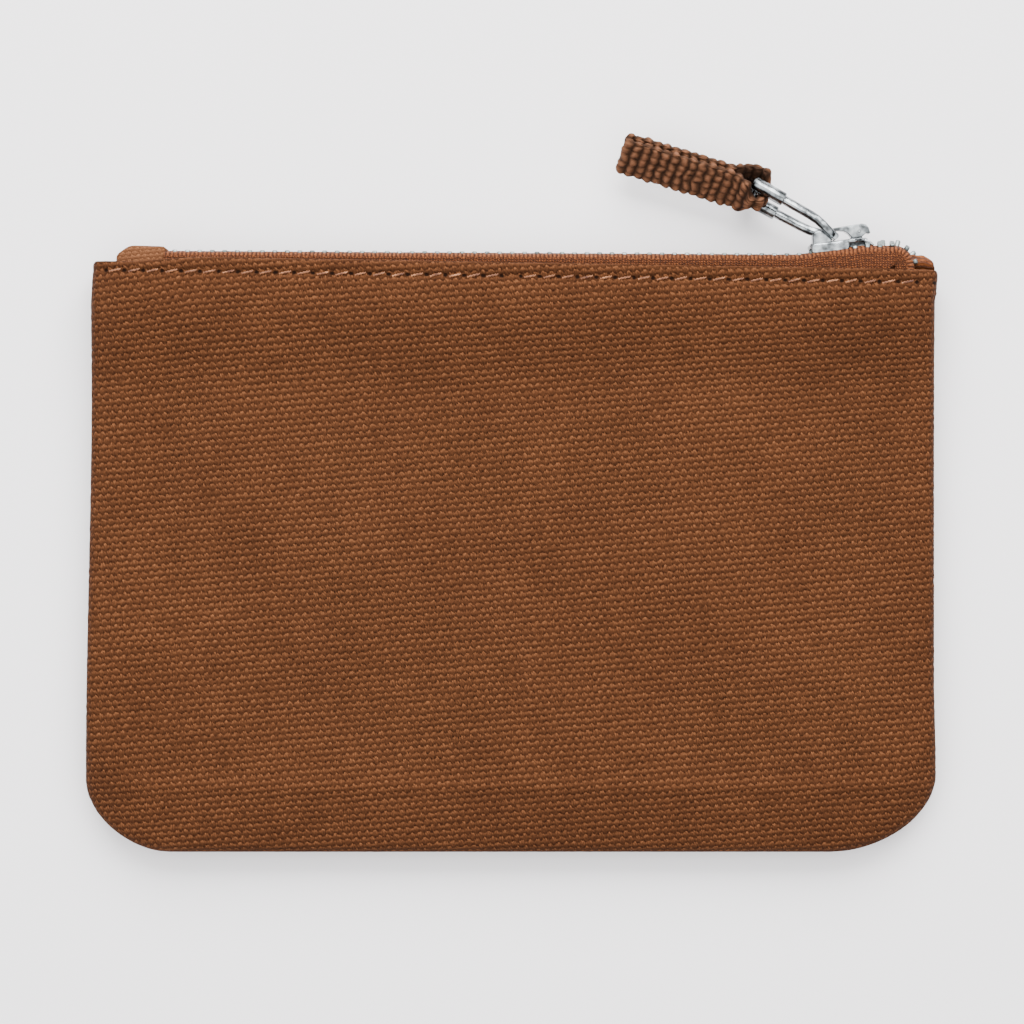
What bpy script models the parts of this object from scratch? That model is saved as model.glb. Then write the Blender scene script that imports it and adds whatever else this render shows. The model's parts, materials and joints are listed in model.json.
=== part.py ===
"""Flat canvas pouch with a metal zip, lying on its back with the zip away from the viewer.

Frame: origin on the resting face at the middle of the back panel, +X along the zip towards
the end where the slider stops when closed, +Y from the bottom seam to the zip, +Z up.
"""
import math

import bmesh
import bpy
from mathutils import Matrix, Vector

MM = 0.001

# Pouch outline
HALF_WIDTH = 72.4 * MM
BOTTOM_Y = -49.8 * MM
TOP_Y = 50.0 * MM
CORNER_RADIUS = 14.5 * MM
CORNER_ANGLES = (0.0, 7.5, 15.0, 30.0, 45.0, 60.0, 75.0, 90.0)
SIDE_ROWS = (-20.0 * MM, 0.0, 20.0 * MM, 32.0 * MM, 38.0 * MM, 44.0 * MM)
# Cloth and seam
CANVAS = 0.8 * MM
SEAM_Z = 5.0 * MM
SEAM_HALF_GAP = 0.25 * MM
EDGE_ROLL = 10.0 * MM
EDGE_STEPS = (0.0, 0.12 * MM, 0.6 * MM, 2.0 * MM, 5.0 * MM, EDGE_ROLL)
INNER_COLUMNS = (-0.6, -0.2, 0.2, 0.6)
BODY_TOP_Z = 9.2 * MM
ALLOWANCE_INSET = 1.6 * MM
ALLOWANCE_WIDTH = 5.0 * MM
ALLOWANCE_TOP_Y = 44.0 * MM
ALLOWANCE_CORNER_STEPS = 6
# Hem beside the zip: the cloth turned in once
HEM_HEIGHT = 8.0 * MM
HEM_LAYER_GAP = 0.1 * MM
HEM_FOLD_STEPS = 4
HEM_LIFT = 0.4 * MM
HEM_HALF_DEPTH = 5.9 * MM
HEM_RAMP_START_Y = 28.0 * MM
HEM_RAMP_END_Y = 45.0 * MM
TOPSTITCH_Y = TOP_Y - 2.3 * MM
THREAD_WIDTH = 0.5 * MM
THREAD_HEIGHT = 0.2 * MM
THREAD_GAP = 0.1 * MM
# Zip chain, seen on its edge: the tape lies level, then turns down behind the hem
ZIP_Z = HEM_LIFT + HEM_HALF_DEPTH
CHAIN_Y = 51.4 * MM
CHAIN_START_X = -58.0 * MM
CHAIN_END_X = 50.5 * MM
TOOTH_PITCH = 2.13 * MM
TOOTH_WIDTH = 0.75 * MM
TOOTH_HALF_HEIGHT = 0.85 * MM
TOOTH_NOSE = -0.75 * MM
TOOTH_NECK = 1.1 * MM
TOOTH_ROOT = 2.3 * MM
TAPE = 0.4 * MM
TAPE_INNER_EDGE = 2.6 * MM
TAPE_OUTER_FACE = 4.05 * MM
TAPE_BEND = 0.8 * MM
TAPE_LEG = 11.5 * MM
TAPE_START_X = -58.3 * MM
FIRST_TOOTH_INSET = 0.6 * MM
# The open end of the zip past the slider: level, then curled down into the pouch
RAMP_START_X = 50.0 * MM
RAMP_END_X = 62.0 * MM
TAPE_STATIONS = (TAPE_START_X, -20.0 * MM, 20.0 * MM, RAMP_START_X, 54.0 * MM, 58.0 * MM, RAMP_END_X)
CURL_START_X = 65.2 * MM
CURL_DROP = 0.3 * MM
CURL_RADIUS = 2.7 * MM
CURL_STEPS = 5
TAPE_TAIL = 2.7 * MM
END_TEETH = 6
END_TOOTH_START_X = 58.5 * MM
UPRIGHT_END_TEETH = 2
END_TOOTH_REACH = 1.5 * MM
STOP_PAST_TEETH = 0.1
STOP_LENGTH = 1.4 * MM
# End tab folded over the start of the zip
TAB_X = (-67.3 * MM, -58.6 * MM)
TAB_Y = (44.5 * MM, 53.1 * MM)
TAB_HALF_DEPTH = 3.5 * MM
TAB_WALL = 1.1 * MM
TAB_ROUNDING = 0.5 * MM
# Slider
SLIDER_CENTRE = Vector((56.15 * MM, 52.15 * MM, ZIP_Z))
SLIDER_TILT = math.radians(7.0)
SLIDER_HALF_LENGTH = 5.1 * MM
SLIDER_HALF_WIDTH = 3.3 * MM
PLATE_INNER = 1.3 * MM
PLATE_OUTER = 2.05 * MM
FLANGE_WALL = 0.55 * MM
FLANGE_EDGE = 0.5 * MM
FLANGE_END_X = 1.9 * MM
WEDGE_X = (1.5 * MM, 4.5 * MM)
WEDGE_HALF_WIDTH = 0.8 * MM
LUG_HALF_WIDTH = 0.95 * MM
LEFT_LUG_X = (-4.4 * MM, -2.1 * MM)
LEFT_LUG_TOP = 3.9 * MM
RIGHT_LUG_X = (1.4 * MM, 4.2 * MM)
RIGHT_LUG_TOP = 3.0 * MM
CROWN_Y = (4.2 * MM, 4.7 * MM)
CROWN_X = (-4.4 * MM, 5.2 * MM)
CROWN_LIP = 0.5 * MM
CROWN_LIP_BOTTOM = 3.2 * MM
SPRING_X = (1.5 * MM, 4.2 * MM)
SPRING_Y = (3.4 * MM, 3.7 * MM)
SPRING_HALF_WIDTH = 0.5 * MM
# How far joined blocks run into each other
JOIN = 0.1 * MM
# Pull: a ring of two arms with thicker barrels at its outer end
PIVOT = Vector((55.3 * MM, 54.95 * MM, ZIP_Z))
PULL_ANGLE = math.radians(151.3)
PULL_ROLL = math.radians(32.0)
PULL_LENGTH = 16.65 * MM
PULL_ROLL_LENGTH = 5.0 * MM
ARM_RADIUS = 0.6 * MM
ARM_STATIONS = (0.0, 1.5 * MM, 3.0 * MM, 4.5 * MM, 6.0 * MM)
ARM_START_OVERRUN = 0.3 * MM
# The arms are a hair thicker than the bars they join, so that no two surfaces coincide
ARM_OVERSIZE = 1.02
ARM_SPREAD_INNER = 3.6 * MM
ARM_SPREAD_OUTER = 4.7 * MM
BARREL_RADIUS = 0.92 * MM
BARREL_LENGTH = 6.0 * MM
CROSSBAR_INSET = 0.95 * MM
BAR_SIDES = 8
BARREL_SIDES = 12
# Webbing loop on the pull
WEBBING_ANGLE = math.radians(163.1)
WEBBING_LENGTH = 24.0 * MM
WEBBING_THICKNESS = 1.3 * MM
WEBBING_WIDTH = 6.5 * MM
WEBBING_BIGHT_WIDTH = 1.9 * MM
WEBBING_ROLL = math.radians(42.0)
BIGHT_LENGTH = 2.45 * MM
BIGHT_HALF_HEIGHT = 2.25 * MM
BIGHT_STEPS = 8
END_FOLD_STEPS = 4
LAYERS_MEET = 5.0 * MM
WEBBING_WIDENS = (1.5 * MM, 7.0 * MM)
WEBBING_STATIONS = (0.0, 1.5 * MM, 3.0 * MM, 5.0 * MM, 8.0 * MM, 16.0 * MM)
LAYER_HALF_SPACING = 0.7 * MM

CANVAS_BROWN = (0.18, 0.068, 0.025)
TAPE_BROWN = (0.25, 0.085, 0.03)
WEBBING_BROWN = (0.15, 0.06, 0.03)
THREAD_BROWN = (0.42, 0.18, 0.07)
NICKEL = (0.72, 0.72, 0.71)


def clear_scene():
    for thing in list(bpy.data.objects):
        bpy.data.objects.remove(thing, do_unlink=True)


def material(name, colour, roughness, metallic=0.0):
    made = bpy.data.materials.new(name)
    made.use_nodes = True
    shader = made.node_tree.nodes["Principled BSDF"]
    shader.inputs["Base Color"].default_value = (*colour, 1.0)
    shader.inputs["Roughness"].default_value = roughness
    shader.inputs["Metallic"].default_value = metallic
    return made


def add_object(name, bm, look):
    """Make one object of a bmesh, with its faces pointing out."""
    mesh = bpy.data.meshes.new(name)
    bm.to_mesh(mesh)
    bm.free()
    made = bpy.data.objects.new(name, mesh)
    bpy.context.scene.collection.objects.link(made)
    made.data.materials.append(look)
    return made


def box_mesh(low, high):
    bm = bmesh.new()
    size = Vector(high) - Vector(low)
    centre = (Vector(high) + Vector(low)) / 2
    bmesh.ops.create_cube(bm, size=1.0, matrix=Matrix.Translation(centre) @ Matrix.Diagonal((*size, 1.0)))
    return bm


def hide_cutter(tool):
    tool.hide_render = True
    tool.display_type = 'WIRE'


def combine(target, tool, operation):
    step = target.modifiers.new(operation.lower(), 'BOOLEAN')
    step.operation = operation
    step.object = tool
    hide_cutter(tool)


def smooth(low, high, value):
    t = min(1.0, max(0.0, (value - low) / (high - low)))
    return t * t * (3.0 - 2.0 * t)


# ---------------------------------------------------------------- panels

def outline_rows():
    """Heights in Y, with the outline's half width at each, from the bottom seam up."""
    rows = []
    for degrees in CORNER_ANGLES:
        angle = math.radians(degrees)
        y = BOTTOM_Y + CORNER_RADIUS * (1.0 - math.cos(angle))
        rows.append((y, HALF_WIDTH - CORNER_RADIUS * (1.0 - math.sin(angle))))
    rows += [(y, HALF_WIDTH) for y in SIDE_ROWS]
    return rows


def outline_depth(x, y):
    """How far a point lies inside the sewn outline."""
    corner_x = HALF_WIDTH - CORNER_RADIUS
    corner_y = BOTTOM_Y + CORNER_RADIUS
    if abs(x) > corner_x and y < corner_y:
        return CORNER_RADIUS - math.hypot(abs(x) - corner_x, y - corner_y)
    return min(HALF_WIDTH - abs(x), y - BOTTOM_Y)


def panel_height(x, y, side):
    """Outer face of a panel: rolled over at the seam, lifted towards the hem."""
    edge = SEAM_Z + side * SEAM_HALF_GAP
    hem = smooth(HEM_RAMP_START_Y, HEM_RAMP_END_Y, y)
    if side > 0:
        full = BODY_TOP_Z + (ZIP_Z + HEM_HALF_DEPTH - BODY_TOP_Z) * hem
    else:
        full = HEM_LIFT * hem
    inward = 1.0 - min(1.0, max(0.0, outline_depth(x, y)) / EDGE_ROLL)
    return edge + (full - edge) * math.sqrt(max(0.0, 1.0 - inward * inward))


def make_panel(name, side, look):
    """One canvas panel with its top edge turned in once; side is +1 front, -1 back."""
    inner = HALF_WIDTH - EDGE_ROLL
    columns = [-HALF_WIDTH + step for step in EDGE_STEPS]
    columns += [inner * share for share in INNER_COLUMNS]
    columns += [HALF_WIDTH - step for step in reversed(EDGE_STEPS)]
    fold_radius = CANVAS + HEM_LAYER_GAP / 2
    flat_rows = outline_rows() + [(TOP_Y - fold_radius, HALF_WIDTH)]
    hem_z = ZIP_Z + side * HEM_HALF_DEPTH
    fold_rows = []
    for step in range(1, HEM_FOLD_STEPS + 1):
        angle = math.pi * step / HEM_FOLD_STEPS
        fold_rows.append((TOP_Y - fold_radius * (1.0 - math.sin(angle)),
                          hem_z - side * fold_radius * (1.0 - math.cos(angle))))
    fold_rows.append((TOP_Y - HEM_HEIGHT, fold_rows[-1][1]))
    row_count = len(flat_rows) + len(fold_rows)

    bm = bmesh.new()
    bmesh.ops.create_grid(bm, x_segments=len(columns) - 1, y_segments=row_count - 1, size=1.0)
    turned_in = set()
    for vert in bm.verts:
        column = round((vert.co.x + 1.0) / 2.0 * (len(columns) - 1))
        row = round((vert.co.y + 1.0) / 2.0 * (row_count - 1))
        if row < len(flat_rows):
            y, half = flat_rows[row]
            x = columns[column] * half / HALF_WIDTH
            vert.co = (x, y, panel_height(x, y, side))
        else:
            y, z = fold_rows[row - len(flat_rows)]
            vert.co = (columns[column], y, z)
            if column < len(EDGE_STEPS) - 1 or column > len(columns) - len(EDGE_STEPS):
                turned_in.add(vert)
    bmesh.ops.delete(bm, geom=list(turned_in), context='VERTS')
    if side < 0:
        bmesh.ops.reverse_faces(bm, faces=bm.faces)
    panel = add_object(name, bm, look)
    wall = panel.modifiers.new("cloth", 'SOLIDIFY')
    wall.thickness = CANVAS
    wall.offset = -1.0
    wall.use_even_offset = True
    return panel


def make_topstitch(name, side, look):
    """Line of topstitching along the hem."""
    face = ZIP_Z + side * (HEM_HALF_DEPTH + THREAD_GAP)
    far = face + side * THREAD_HEIGHT
    half = HALF_WIDTH - EDGE_ROLL
    low = (-half, TOPSTITCH_Y - THREAD_WIDTH / 2, min(face, far))
    high = (half, TOPSTITCH_Y + THREAD_WIDTH / 2, max(face, far))
    return add_object(name, box_mesh(low, high), look)


def make_seam_allowance(look):
    """Both panels' raw edges, turned to the inside and overlocked: a flat U round the seam."""
    bm = bmesh.new()
    path = [Vector((HALF_WIDTH, ALLOWANCE_TOP_Y, 0.0))]
    normals = [Vector((-1.0, 0.0, 0.0))]
    for step in range(ALLOWANCE_CORNER_STEPS + 1):
        angle = -math.pi / 2 * step / ALLOWANCE_CORNER_STEPS
        out = Vector((math.cos(angle), math.sin(angle), 0.0))
        centre = Vector((HALF_WIDTH - CORNER_RADIUS, BOTTOM_Y + CORNER_RADIUS, 0.0))
        path.append(centre + out * CORNER_RADIUS)
        normals.append(-out)
    path += [Vector((-p.x, p.y, 0.0)) for p in reversed(path)]
    normals += [Vector((-n.x, n.y, 0.0)) for n in reversed(normals)]
    rings = []
    for point, normal in zip(path, normals):
        near = point + normal * ALLOWANCE_INSET
        far = near + normal * ALLOWANCE_WIDTH
        ring = [(near, -1), (far, -1), (far, 1), (near, 1)]
        rings.append([bm.verts.new((p.x, p.y, SEAM_Z + s * CANVAS)) for p, s in ring])
    skin_rings(bm, rings, closed=False)
    return add_object("seam_allowance", bm, look)


def skin_rings(bm, rings, closed):
    """Join rings of equal size into a tube and cap it unless it closes on itself."""
    pairs = list(zip(rings, rings[1:]))
    if closed:
        pairs.append((rings[-1], rings[0]))
    for first, second in pairs:
        count = len(first)
        for i in range(count):
            j = (i + 1) % count
            bm.faces.new((first[i], first[j], second[j], second[i]))
    if not closed:
        bm.faces.new(list(reversed(rings[0])))
        bm.faces.new(rings[-1])
    bmesh.ops.recalc_face_normals(bm, faces=bm.faces)


# ---------------------------------------------------------------- zip

def ramp_y(x):
    """Height of the chain under the tilted slider."""
    return SLIDER_CENTRE.y + (x - SLIDER_CENTRE.x) * math.tan(SLIDER_TILT)


def zip_place(x):
    """Chain centre at a point before the curl."""
    if x <= RAMP_START_X:
        return CHAIN_Y
    if x <= RAMP_END_X:
        return ramp_y(x)
    return ramp_y(RAMP_END_X) - CURL_DROP * smooth(RAMP_END_X, CURL_START_X, x)


def end_place(distance):
    """Centre and outward direction at a distance past the first free tooth."""
    straight = CURL_START_X - END_TOOTH_START_X
    if distance <= straight:
        x = END_TOOTH_START_X + distance
        return Vector((x, zip_place(x))), math.pi / 2
    angle = math.pi / 2 - (distance - straight) / CURL_RADIUS
    centre = Vector((CURL_START_X, zip_place(CURL_START_X) - CURL_RADIUS))
    if angle >= 0.0:
        return centre + CURL_RADIUS * Vector((math.cos(angle), math.sin(angle))), angle
    tail = (distance - straight) - CURL_RADIUS * math.pi / 2
    return centre + Vector((CURL_RADIUS, -tail)), 0.0


def make_tape(name, side, look):
    """Zip tape: level strip beside the teeth, then a leg turned down behind the hem."""
    bend_centre = TAPE_OUTER_FACE - TAPE_BEND
    section = [(TAPE_INNER_EDGE, TAPE / 2), (bend_centre, TAPE / 2)]
    for step in (1, 2, 3):
        angle = math.pi / 2 * (1 - step / 3)
        section.append((bend_centre + TAPE_BEND * math.cos(angle),
                        TAPE / 2 - TAPE_BEND * (1 - math.sin(angle))))
    section.append((TAPE_OUTER_FACE, -TAPE_LEG))
    stations = [(Vector((x, zip_place(x))), math.pi / 2) for x in TAPE_STATIONS]
    leg_stations = len(stations)
    curl = CURL_START_X - END_TOOTH_START_X
    stations += [end_place(curl + CURL_RADIUS * math.pi / 2 * step / CURL_STEPS)
                 for step in range(CURL_STEPS + 1)]
    stations.append(end_place(curl + CURL_RADIUS * math.pi / 2 + TAPE_TAIL))

    bm = bmesh.new()
    bmesh.ops.create_grid(bm, x_segments=len(stations) - 1, y_segments=len(section) - 1, size=1.0)
    cut_away = []
    for vert in bm.verts:
        column = round((vert.co.x + 1.0) / 2.0 * (len(stations) - 1))
        row = round((vert.co.y + 1.0) / 2.0 * (len(section) - 1))
        place, angle = stations[column]
        across, out = section[row]
        vert.co = (place.x + out * math.cos(angle), place.y + out * math.sin(angle), ZIP_Z + side * across)
        if column >= leg_stations and row > 1:
            cut_away.append(vert)
    bmesh.ops.delete(bm, geom=cut_away, context='VERTS')
    bmesh.ops.recalc_face_normals(bm, faces=bm.faces)
    bm.faces.ensure_lookup_table()
    outer = max(bm.faces, key=lambda face: face.calc_center_median().z * side)
    if outer.normal.z * side < 0:
        bmesh.ops.reverse_faces(bm, faces=bm.faces)
    tape = add_object(name, bm, look)
    wall = tape.modifiers.new("tape", 'SOLIDIFY')
    wall.thickness = TAPE
    wall.offset = -1.0
    wall.use_even_offset = True
    return tape


def make_teeth(name, side, look):
    """Row of teeth on its cord; the two rows sit half a pitch apart."""
    shift = 0.0 if side > 0 else TOOTH_PITCH / 2
    profile = [(CHAIN_END_X, TOOTH_ROOT), (CHAIN_START_X, TOOTH_ROOT), (CHAIN_START_X, TOOTH_NECK)]
    start = CHAIN_START_X + FIRST_TOOTH_INSET + shift
    count = int((CHAIN_END_X - TOOTH_WIDTH - start) / TOOTH_PITCH) + 1
    for index in range(count):
        left = start + index * TOOTH_PITCH
        right = left + TOOTH_WIDTH
        profile += [(left, TOOTH_NECK), (left, TOOTH_NOSE), (right, TOOTH_NOSE), (right, TOOTH_NECK)]
    profile.append((CHAIN_END_X, TOOTH_NECK))
    bm = bmesh.new()
    low = CHAIN_Y - TOOTH_HALF_HEIGHT
    face = bm.faces.new([bm.verts.new((x, low, ZIP_Z + side * z)) for x, z in profile])
    grown = bmesh.ops.extrude_face_region(bm, geom=[face])["geom"]
    top = [item for item in grown if isinstance(item, bmesh.types.BMVert)]
    bmesh.ops.translate(bm, verts=top, vec=(0.0, 2 * TOOTH_HALF_HEIGHT, 0.0))
    bmesh.ops.recalc_face_normals(bm, faces=bm.faces)
    return add_object(name, bm, look)


def make_end_piece(name, side, distance, length, reach, look):
    """A free tooth or a top stop past the slider, set square to the tape's path."""
    place, angle = end_place(distance)
    root = -TOOTH_HALF_HEIGHT
    bm = box_mesh((-length / 2, root, TOOTH_NECK), (length / 2, reach, TOOTH_ROOT))
    if side < 0:
        bmesh.ops.scale(bm, vec=(1.0, 1.0, -1.0), verts=bm.verts)
        bmesh.ops.reverse_faces(bm, faces=bm.faces)
    made = add_object(name, bm, look)
    made.location = (place.x, place.y, ZIP_Z)
    made.rotation_euler = (0.0, 0.0, angle - math.pi / 2)
    return made


def make_end_tab(look):
    """Canvas tab folded over the start of the zip, caught in the seam."""
    tab = add_object("end_tab", box_mesh((TAB_X[0], TAB_Y[0], ZIP_Z - TAB_HALF_DEPTH),
                                         (TAB_X[1], TAB_Y[1], ZIP_Z + TAB_HALF_DEPTH)), look)
    inner = TAB_HALF_DEPTH - TAB_WALL
    slot = add_object("tab_slot", box_mesh((TAB_X[0] - JOIN, TAB_Y[0] - JOIN, ZIP_Z - inner),
                                           (TAB_X[1] + JOIN, TAB_Y[1] - TAB_WALL, ZIP_Z + inner)), look)
    rounding = tab.modifiers.new("fold", 'BEVEL')
    rounding.width = TAB_ROUNDING
    rounding.segments = 2
    combine(tab, slot, 'DIFFERENCE')
    return tab


# ---------------------------------------------------------------- slider

def slider_object(name, low, high, look):
    """A block in the slider's own tilted frame."""
    made = add_object(name, box_mesh(low, high), look)
    made.location = SLIDER_CENTRE
    made.rotation_euler = (0.0, 0.0, SLIDER_TILT)
    return made


def make_slider_body(look):
    """Two plates joined by the wedge, with side flanges and lugs for the cover."""
    half = SLIDER_HALF_LENGTH
    wide = SLIDER_HALF_WIDTH
    body = slider_object("slider_body", (-half, PLATE_INNER, -wide), (half, PLATE_OUTER, wide), look)
    parts = [("lower_plate", (-half, -PLATE_OUTER, -wide), (half, -PLATE_INNER, wide)),
             ("wedge", (WEDGE_X[0], -PLATE_INNER - JOIN, -WEDGE_HALF_WIDTH),
              (WEDGE_X[1], PLATE_INNER + JOIN, WEDGE_HALF_WIDTH))]
    for name, across, top in (("left_lug", LEFT_LUG_X, LEFT_LUG_TOP), ("right_lug", RIGHT_LUG_X, RIGHT_LUG_TOP)):
        parts.append((name, (across[0], PLATE_OUTER - JOIN, -LUG_HALF_WIDTH), (across[1], top, LUG_HALF_WIDTH)))
    for side in (-1, 1):
        for level in (-1, 1):
            across = sorted((side * (wide - FLANGE_WALL), side * wide))
            up = sorted((level * FLANGE_EDGE, level * (PLATE_INNER + JOIN)))
            parts.append((f"flange_{side}_{level}", (-half, up[0], across[0]), (FLANGE_END_X, up[1], across[1])))
    for name, low, high in parts:
        combine(body, slider_object(name, low, high, look), 'UNION')
    return body


def make_slider_crown(look):
    """Cover strip over the pull's bar, turned down at its far end."""
    crown = slider_object("slider_crown", (CROWN_X[0], CROWN_Y[0], -LUG_HALF_WIDTH),
                          (CROWN_X[1], CROWN_Y[1], LUG_HALF_WIDTH), look)
    lip = slider_object("crown_lip", (CROWN_X[1] - CROWN_LIP, CROWN_LIP_BOTTOM, -LUG_HALF_WIDTH),
                        (CROWN_X[1], CROWN_Y[0] + JOIN, LUG_HALF_WIDTH), look)
    combine(crown, lip, 'UNION')
    return crown


def make_lock_spring(look):
    return slider_object("lock_spring", (SPRING_X[0], SPRING_Y[0], -SPRING_HALF_WIDTH),
                         (SPRING_X[1], SPRING_Y[1], SPRING_HALF_WIDTH), look)


# ---------------------------------------------------------------- pull and webbing

def pull_point(along, across):
    """Point on the pull: along it from the pivot, across it on its rolled cross direction."""
    roll = PULL_ROLL * smooth(0.0, PULL_ROLL_LENGTH, along)
    length = Vector((math.cos(PULL_ANGLE), math.sin(PULL_ANGLE), 0.0))
    side = Vector((math.sin(PULL_ANGLE), -math.cos(PULL_ANGLE), 0.0))
    return PIVOT + along * length + across * (math.sin(roll) * side + math.cos(roll) * Vector((0.0, 0.0, 1.0)))


def tube(name, points, radius, look, sides=BAR_SIDES):
    """Round bar through the given points, capped at both ends."""
    bm = bmesh.new()
    rings = []
    # Any direction that no bar runs along sets where the first ring starts
    frame_side = Vector((0.31, 0.17, 0.93))
    for index, point in enumerate(points):
        before = points[max(0, index - 1)]
        after = points[min(len(points) - 1, index + 1)]
        along = (after - before).normalized()
        first = along.cross(frame_side).normalized()
        frame_side = first.cross(along).normalized()
        ring = []
        for step in range(sides):
            angle = 2 * math.pi * step / sides
            ring.append(bm.verts.new(point + radius * (math.cos(angle) * frame_side + math.sin(angle) * first)))
        rings.append(ring)
    skin_rings(bm, rings, closed=False)
    return add_object(name, bm, look)


def make_pull_frame(look):
    """Two bent arms from the pivot bar to the crossbar, with a barrel round the end of each."""
    bar_along = PULL_LENGTH - CROSSBAR_INSET
    frame = tube("pull_frame", [pull_point(0.0, -ARM_SPREAD_INNER / 2), pull_point(0.0, ARM_SPREAD_INNER / 2)],
                 ARM_RADIUS, look)
    stations = [*ARM_STATIONS, PULL_LENGTH - BARREL_LENGTH / 2]
    parts = []
    for side, label in ((-1, "far"), (1, "near")):
        arm = []
        for along in stations:
            spread = ARM_SPREAD_INNER + (ARM_SPREAD_OUTER - ARM_SPREAD_INNER) * along / bar_along
            arm.append(pull_point(along - (ARM_START_OVERRUN if along == 0.0 else 0.0), side * spread / 2))
        parts.append(tube(f"arm_{label}", arm, ARM_RADIUS * ARM_OVERSIZE, look))
        ends = [PULL_LENGTH - BARREL_LENGTH, PULL_LENGTH]
        parts.append(tube(f"barrel_{label}", [pull_point(end, side * ARM_SPREAD_OUTER / 2) for end in ends],
                          BARREL_RADIUS, look, sides=BARREL_SIDES))
    half = ARM_SPREAD_OUTER / 2
    parts.append(tube("crossbar", [pull_point(bar_along, -half), pull_point(bar_along, half)], ARM_RADIUS, look))
    for part in parts:
        combine(frame, part, 'UNION')
    return frame


def webbing_half_height(along):
    """Half the opening of the loop: round the crossbar, then closing to two flat layers."""
    if along < 0.0:
        return BIGHT_HALF_HEIGHT * math.sqrt(max(0.0, 1.0 - (along / BIGHT_LENGTH) ** 2))
    return BIGHT_HALF_HEIGHT + (LAYER_HALF_SPACING - BIGHT_HALF_HEIGHT) * smooth(0.0, LAYERS_MEET, along)


def make_webbing(look):
    """Ribbed webbing folded round the crossbar, its two layers lying together."""
    bar = pull_point(PULL_LENGTH - CROSSBAR_INSET, 0.0)
    along_axis = Vector((math.cos(WEBBING_ANGLE), math.sin(WEBBING_ANGLE), 0.0))
    up_axis = Vector((math.sin(WEBBING_ANGLE), -math.cos(WEBBING_ANGLE), 0.0))
    end = WEBBING_LENGTH - WEBBING_THICKNESS / 2 - LAYER_HALF_SPACING
    path = []
    for step in range(1, BIGHT_STEPS):
        angle = math.pi * step / BIGHT_STEPS
        path.append((-BIGHT_LENGTH * math.sin(angle), BIGHT_HALF_HEIGHT * math.cos(angle)))
    straight = [*WEBBING_STATIONS, end]
    path += [(along, -webbing_half_height(along)) for along in straight]
    for step in range(1, END_FOLD_STEPS):
        angle = math.pi * step / END_FOLD_STEPS
        path.append((end + LAYER_HALF_SPACING * math.sin(angle), -LAYER_HALF_SPACING * math.cos(angle)))
    path += [(along, webbing_half_height(along)) for along in reversed(straight)]
    bm = bmesh.new()
    rings = []
    count = len(path)
    for index, (along, up) in enumerate(path):
        before, after = path[index - 1], path[(index + 1) % count]
        tangent = Vector((after[0] - before[0], after[1] - before[1])).normalized()
        normal = Vector((tangent.y, -tangent.x))
        widen = smooth(*WEBBING_WIDENS, along)
        width = WEBBING_BIGHT_WIDTH + (WEBBING_WIDTH - WEBBING_BIGHT_WIDTH) * widen
        roll = PULL_ROLL + (WEBBING_ROLL - PULL_ROLL) * widen
        rolled_up = math.cos(roll) * up_axis - math.sin(roll) * Vector((0.0, 0.0, 1.0))
        across = math.sin(roll) * up_axis + math.cos(roll) * Vector((0.0, 0.0, 1.0))
        ring = []
        for thick, wide in ((-1, -1), (1, -1), (1, 1), (-1, 1)):
            a = along + normal.x * thick * WEBBING_THICKNESS / 2
            u = up + normal.y * thick * WEBBING_THICKNESS / 2
            ring.append(bm.verts.new(bar + a * along_axis + u * rolled_up + wide * width / 2 * across))
        rings.append(ring)
    skin_rings(bm, rings, closed=True)
    return add_object("pull_webbing", bm, look)


def build():
    clear_scene()
    canvas = material("cotton_canvas", CANVAS_BROWN, 0.9)
    tape = material("zip_tape_cloth", TAPE_BROWN, 0.85)
    webbing = material("cotton_webbing", WEBBING_BROWN, 0.9)
    thread = material("sewing_thread", THREAD_BROWN, 0.7)
    nickel = material("nickel_plate", NICKEL, 0.25, 1.0)
    for side, label in ((-1, "back"), (1, "front")):
        make_panel(f"{label}_panel", side, canvas)
        make_topstitch(f"{label}_topstitch", side, thread)
        make_tape(f"{label}_tape", side, tape)
        make_teeth(f"{label}_teeth", side, nickel)
        for index in range(END_TEETH):
            reach = TOOTH_HALF_HEIGHT if index < UPRIGHT_END_TEETH else END_TOOTH_REACH
            make_end_piece(f"{label}_end_tooth_{index + 1}", side, index * TOOTH_PITCH, TOOTH_WIDTH, reach, nickel)
        make_end_piece(f"{label}_top_stop", side, (END_TEETH + STOP_PAST_TEETH) * TOOTH_PITCH, STOP_LENGTH,
                       TOOTH_HALF_HEIGHT, nickel)
    make_seam_allowance(canvas)
    make_end_tab(canvas)
    make_slider_body(nickel)
    make_slider_crown(nickel)
    make_lock_spring(nickel)
    make_pull_frame(nickel)
    make_webbing(webbing)


build()
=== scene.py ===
import json
import math
import random

import bmesh
import bpy
from mathutils import Matrix, Vector, noise


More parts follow.
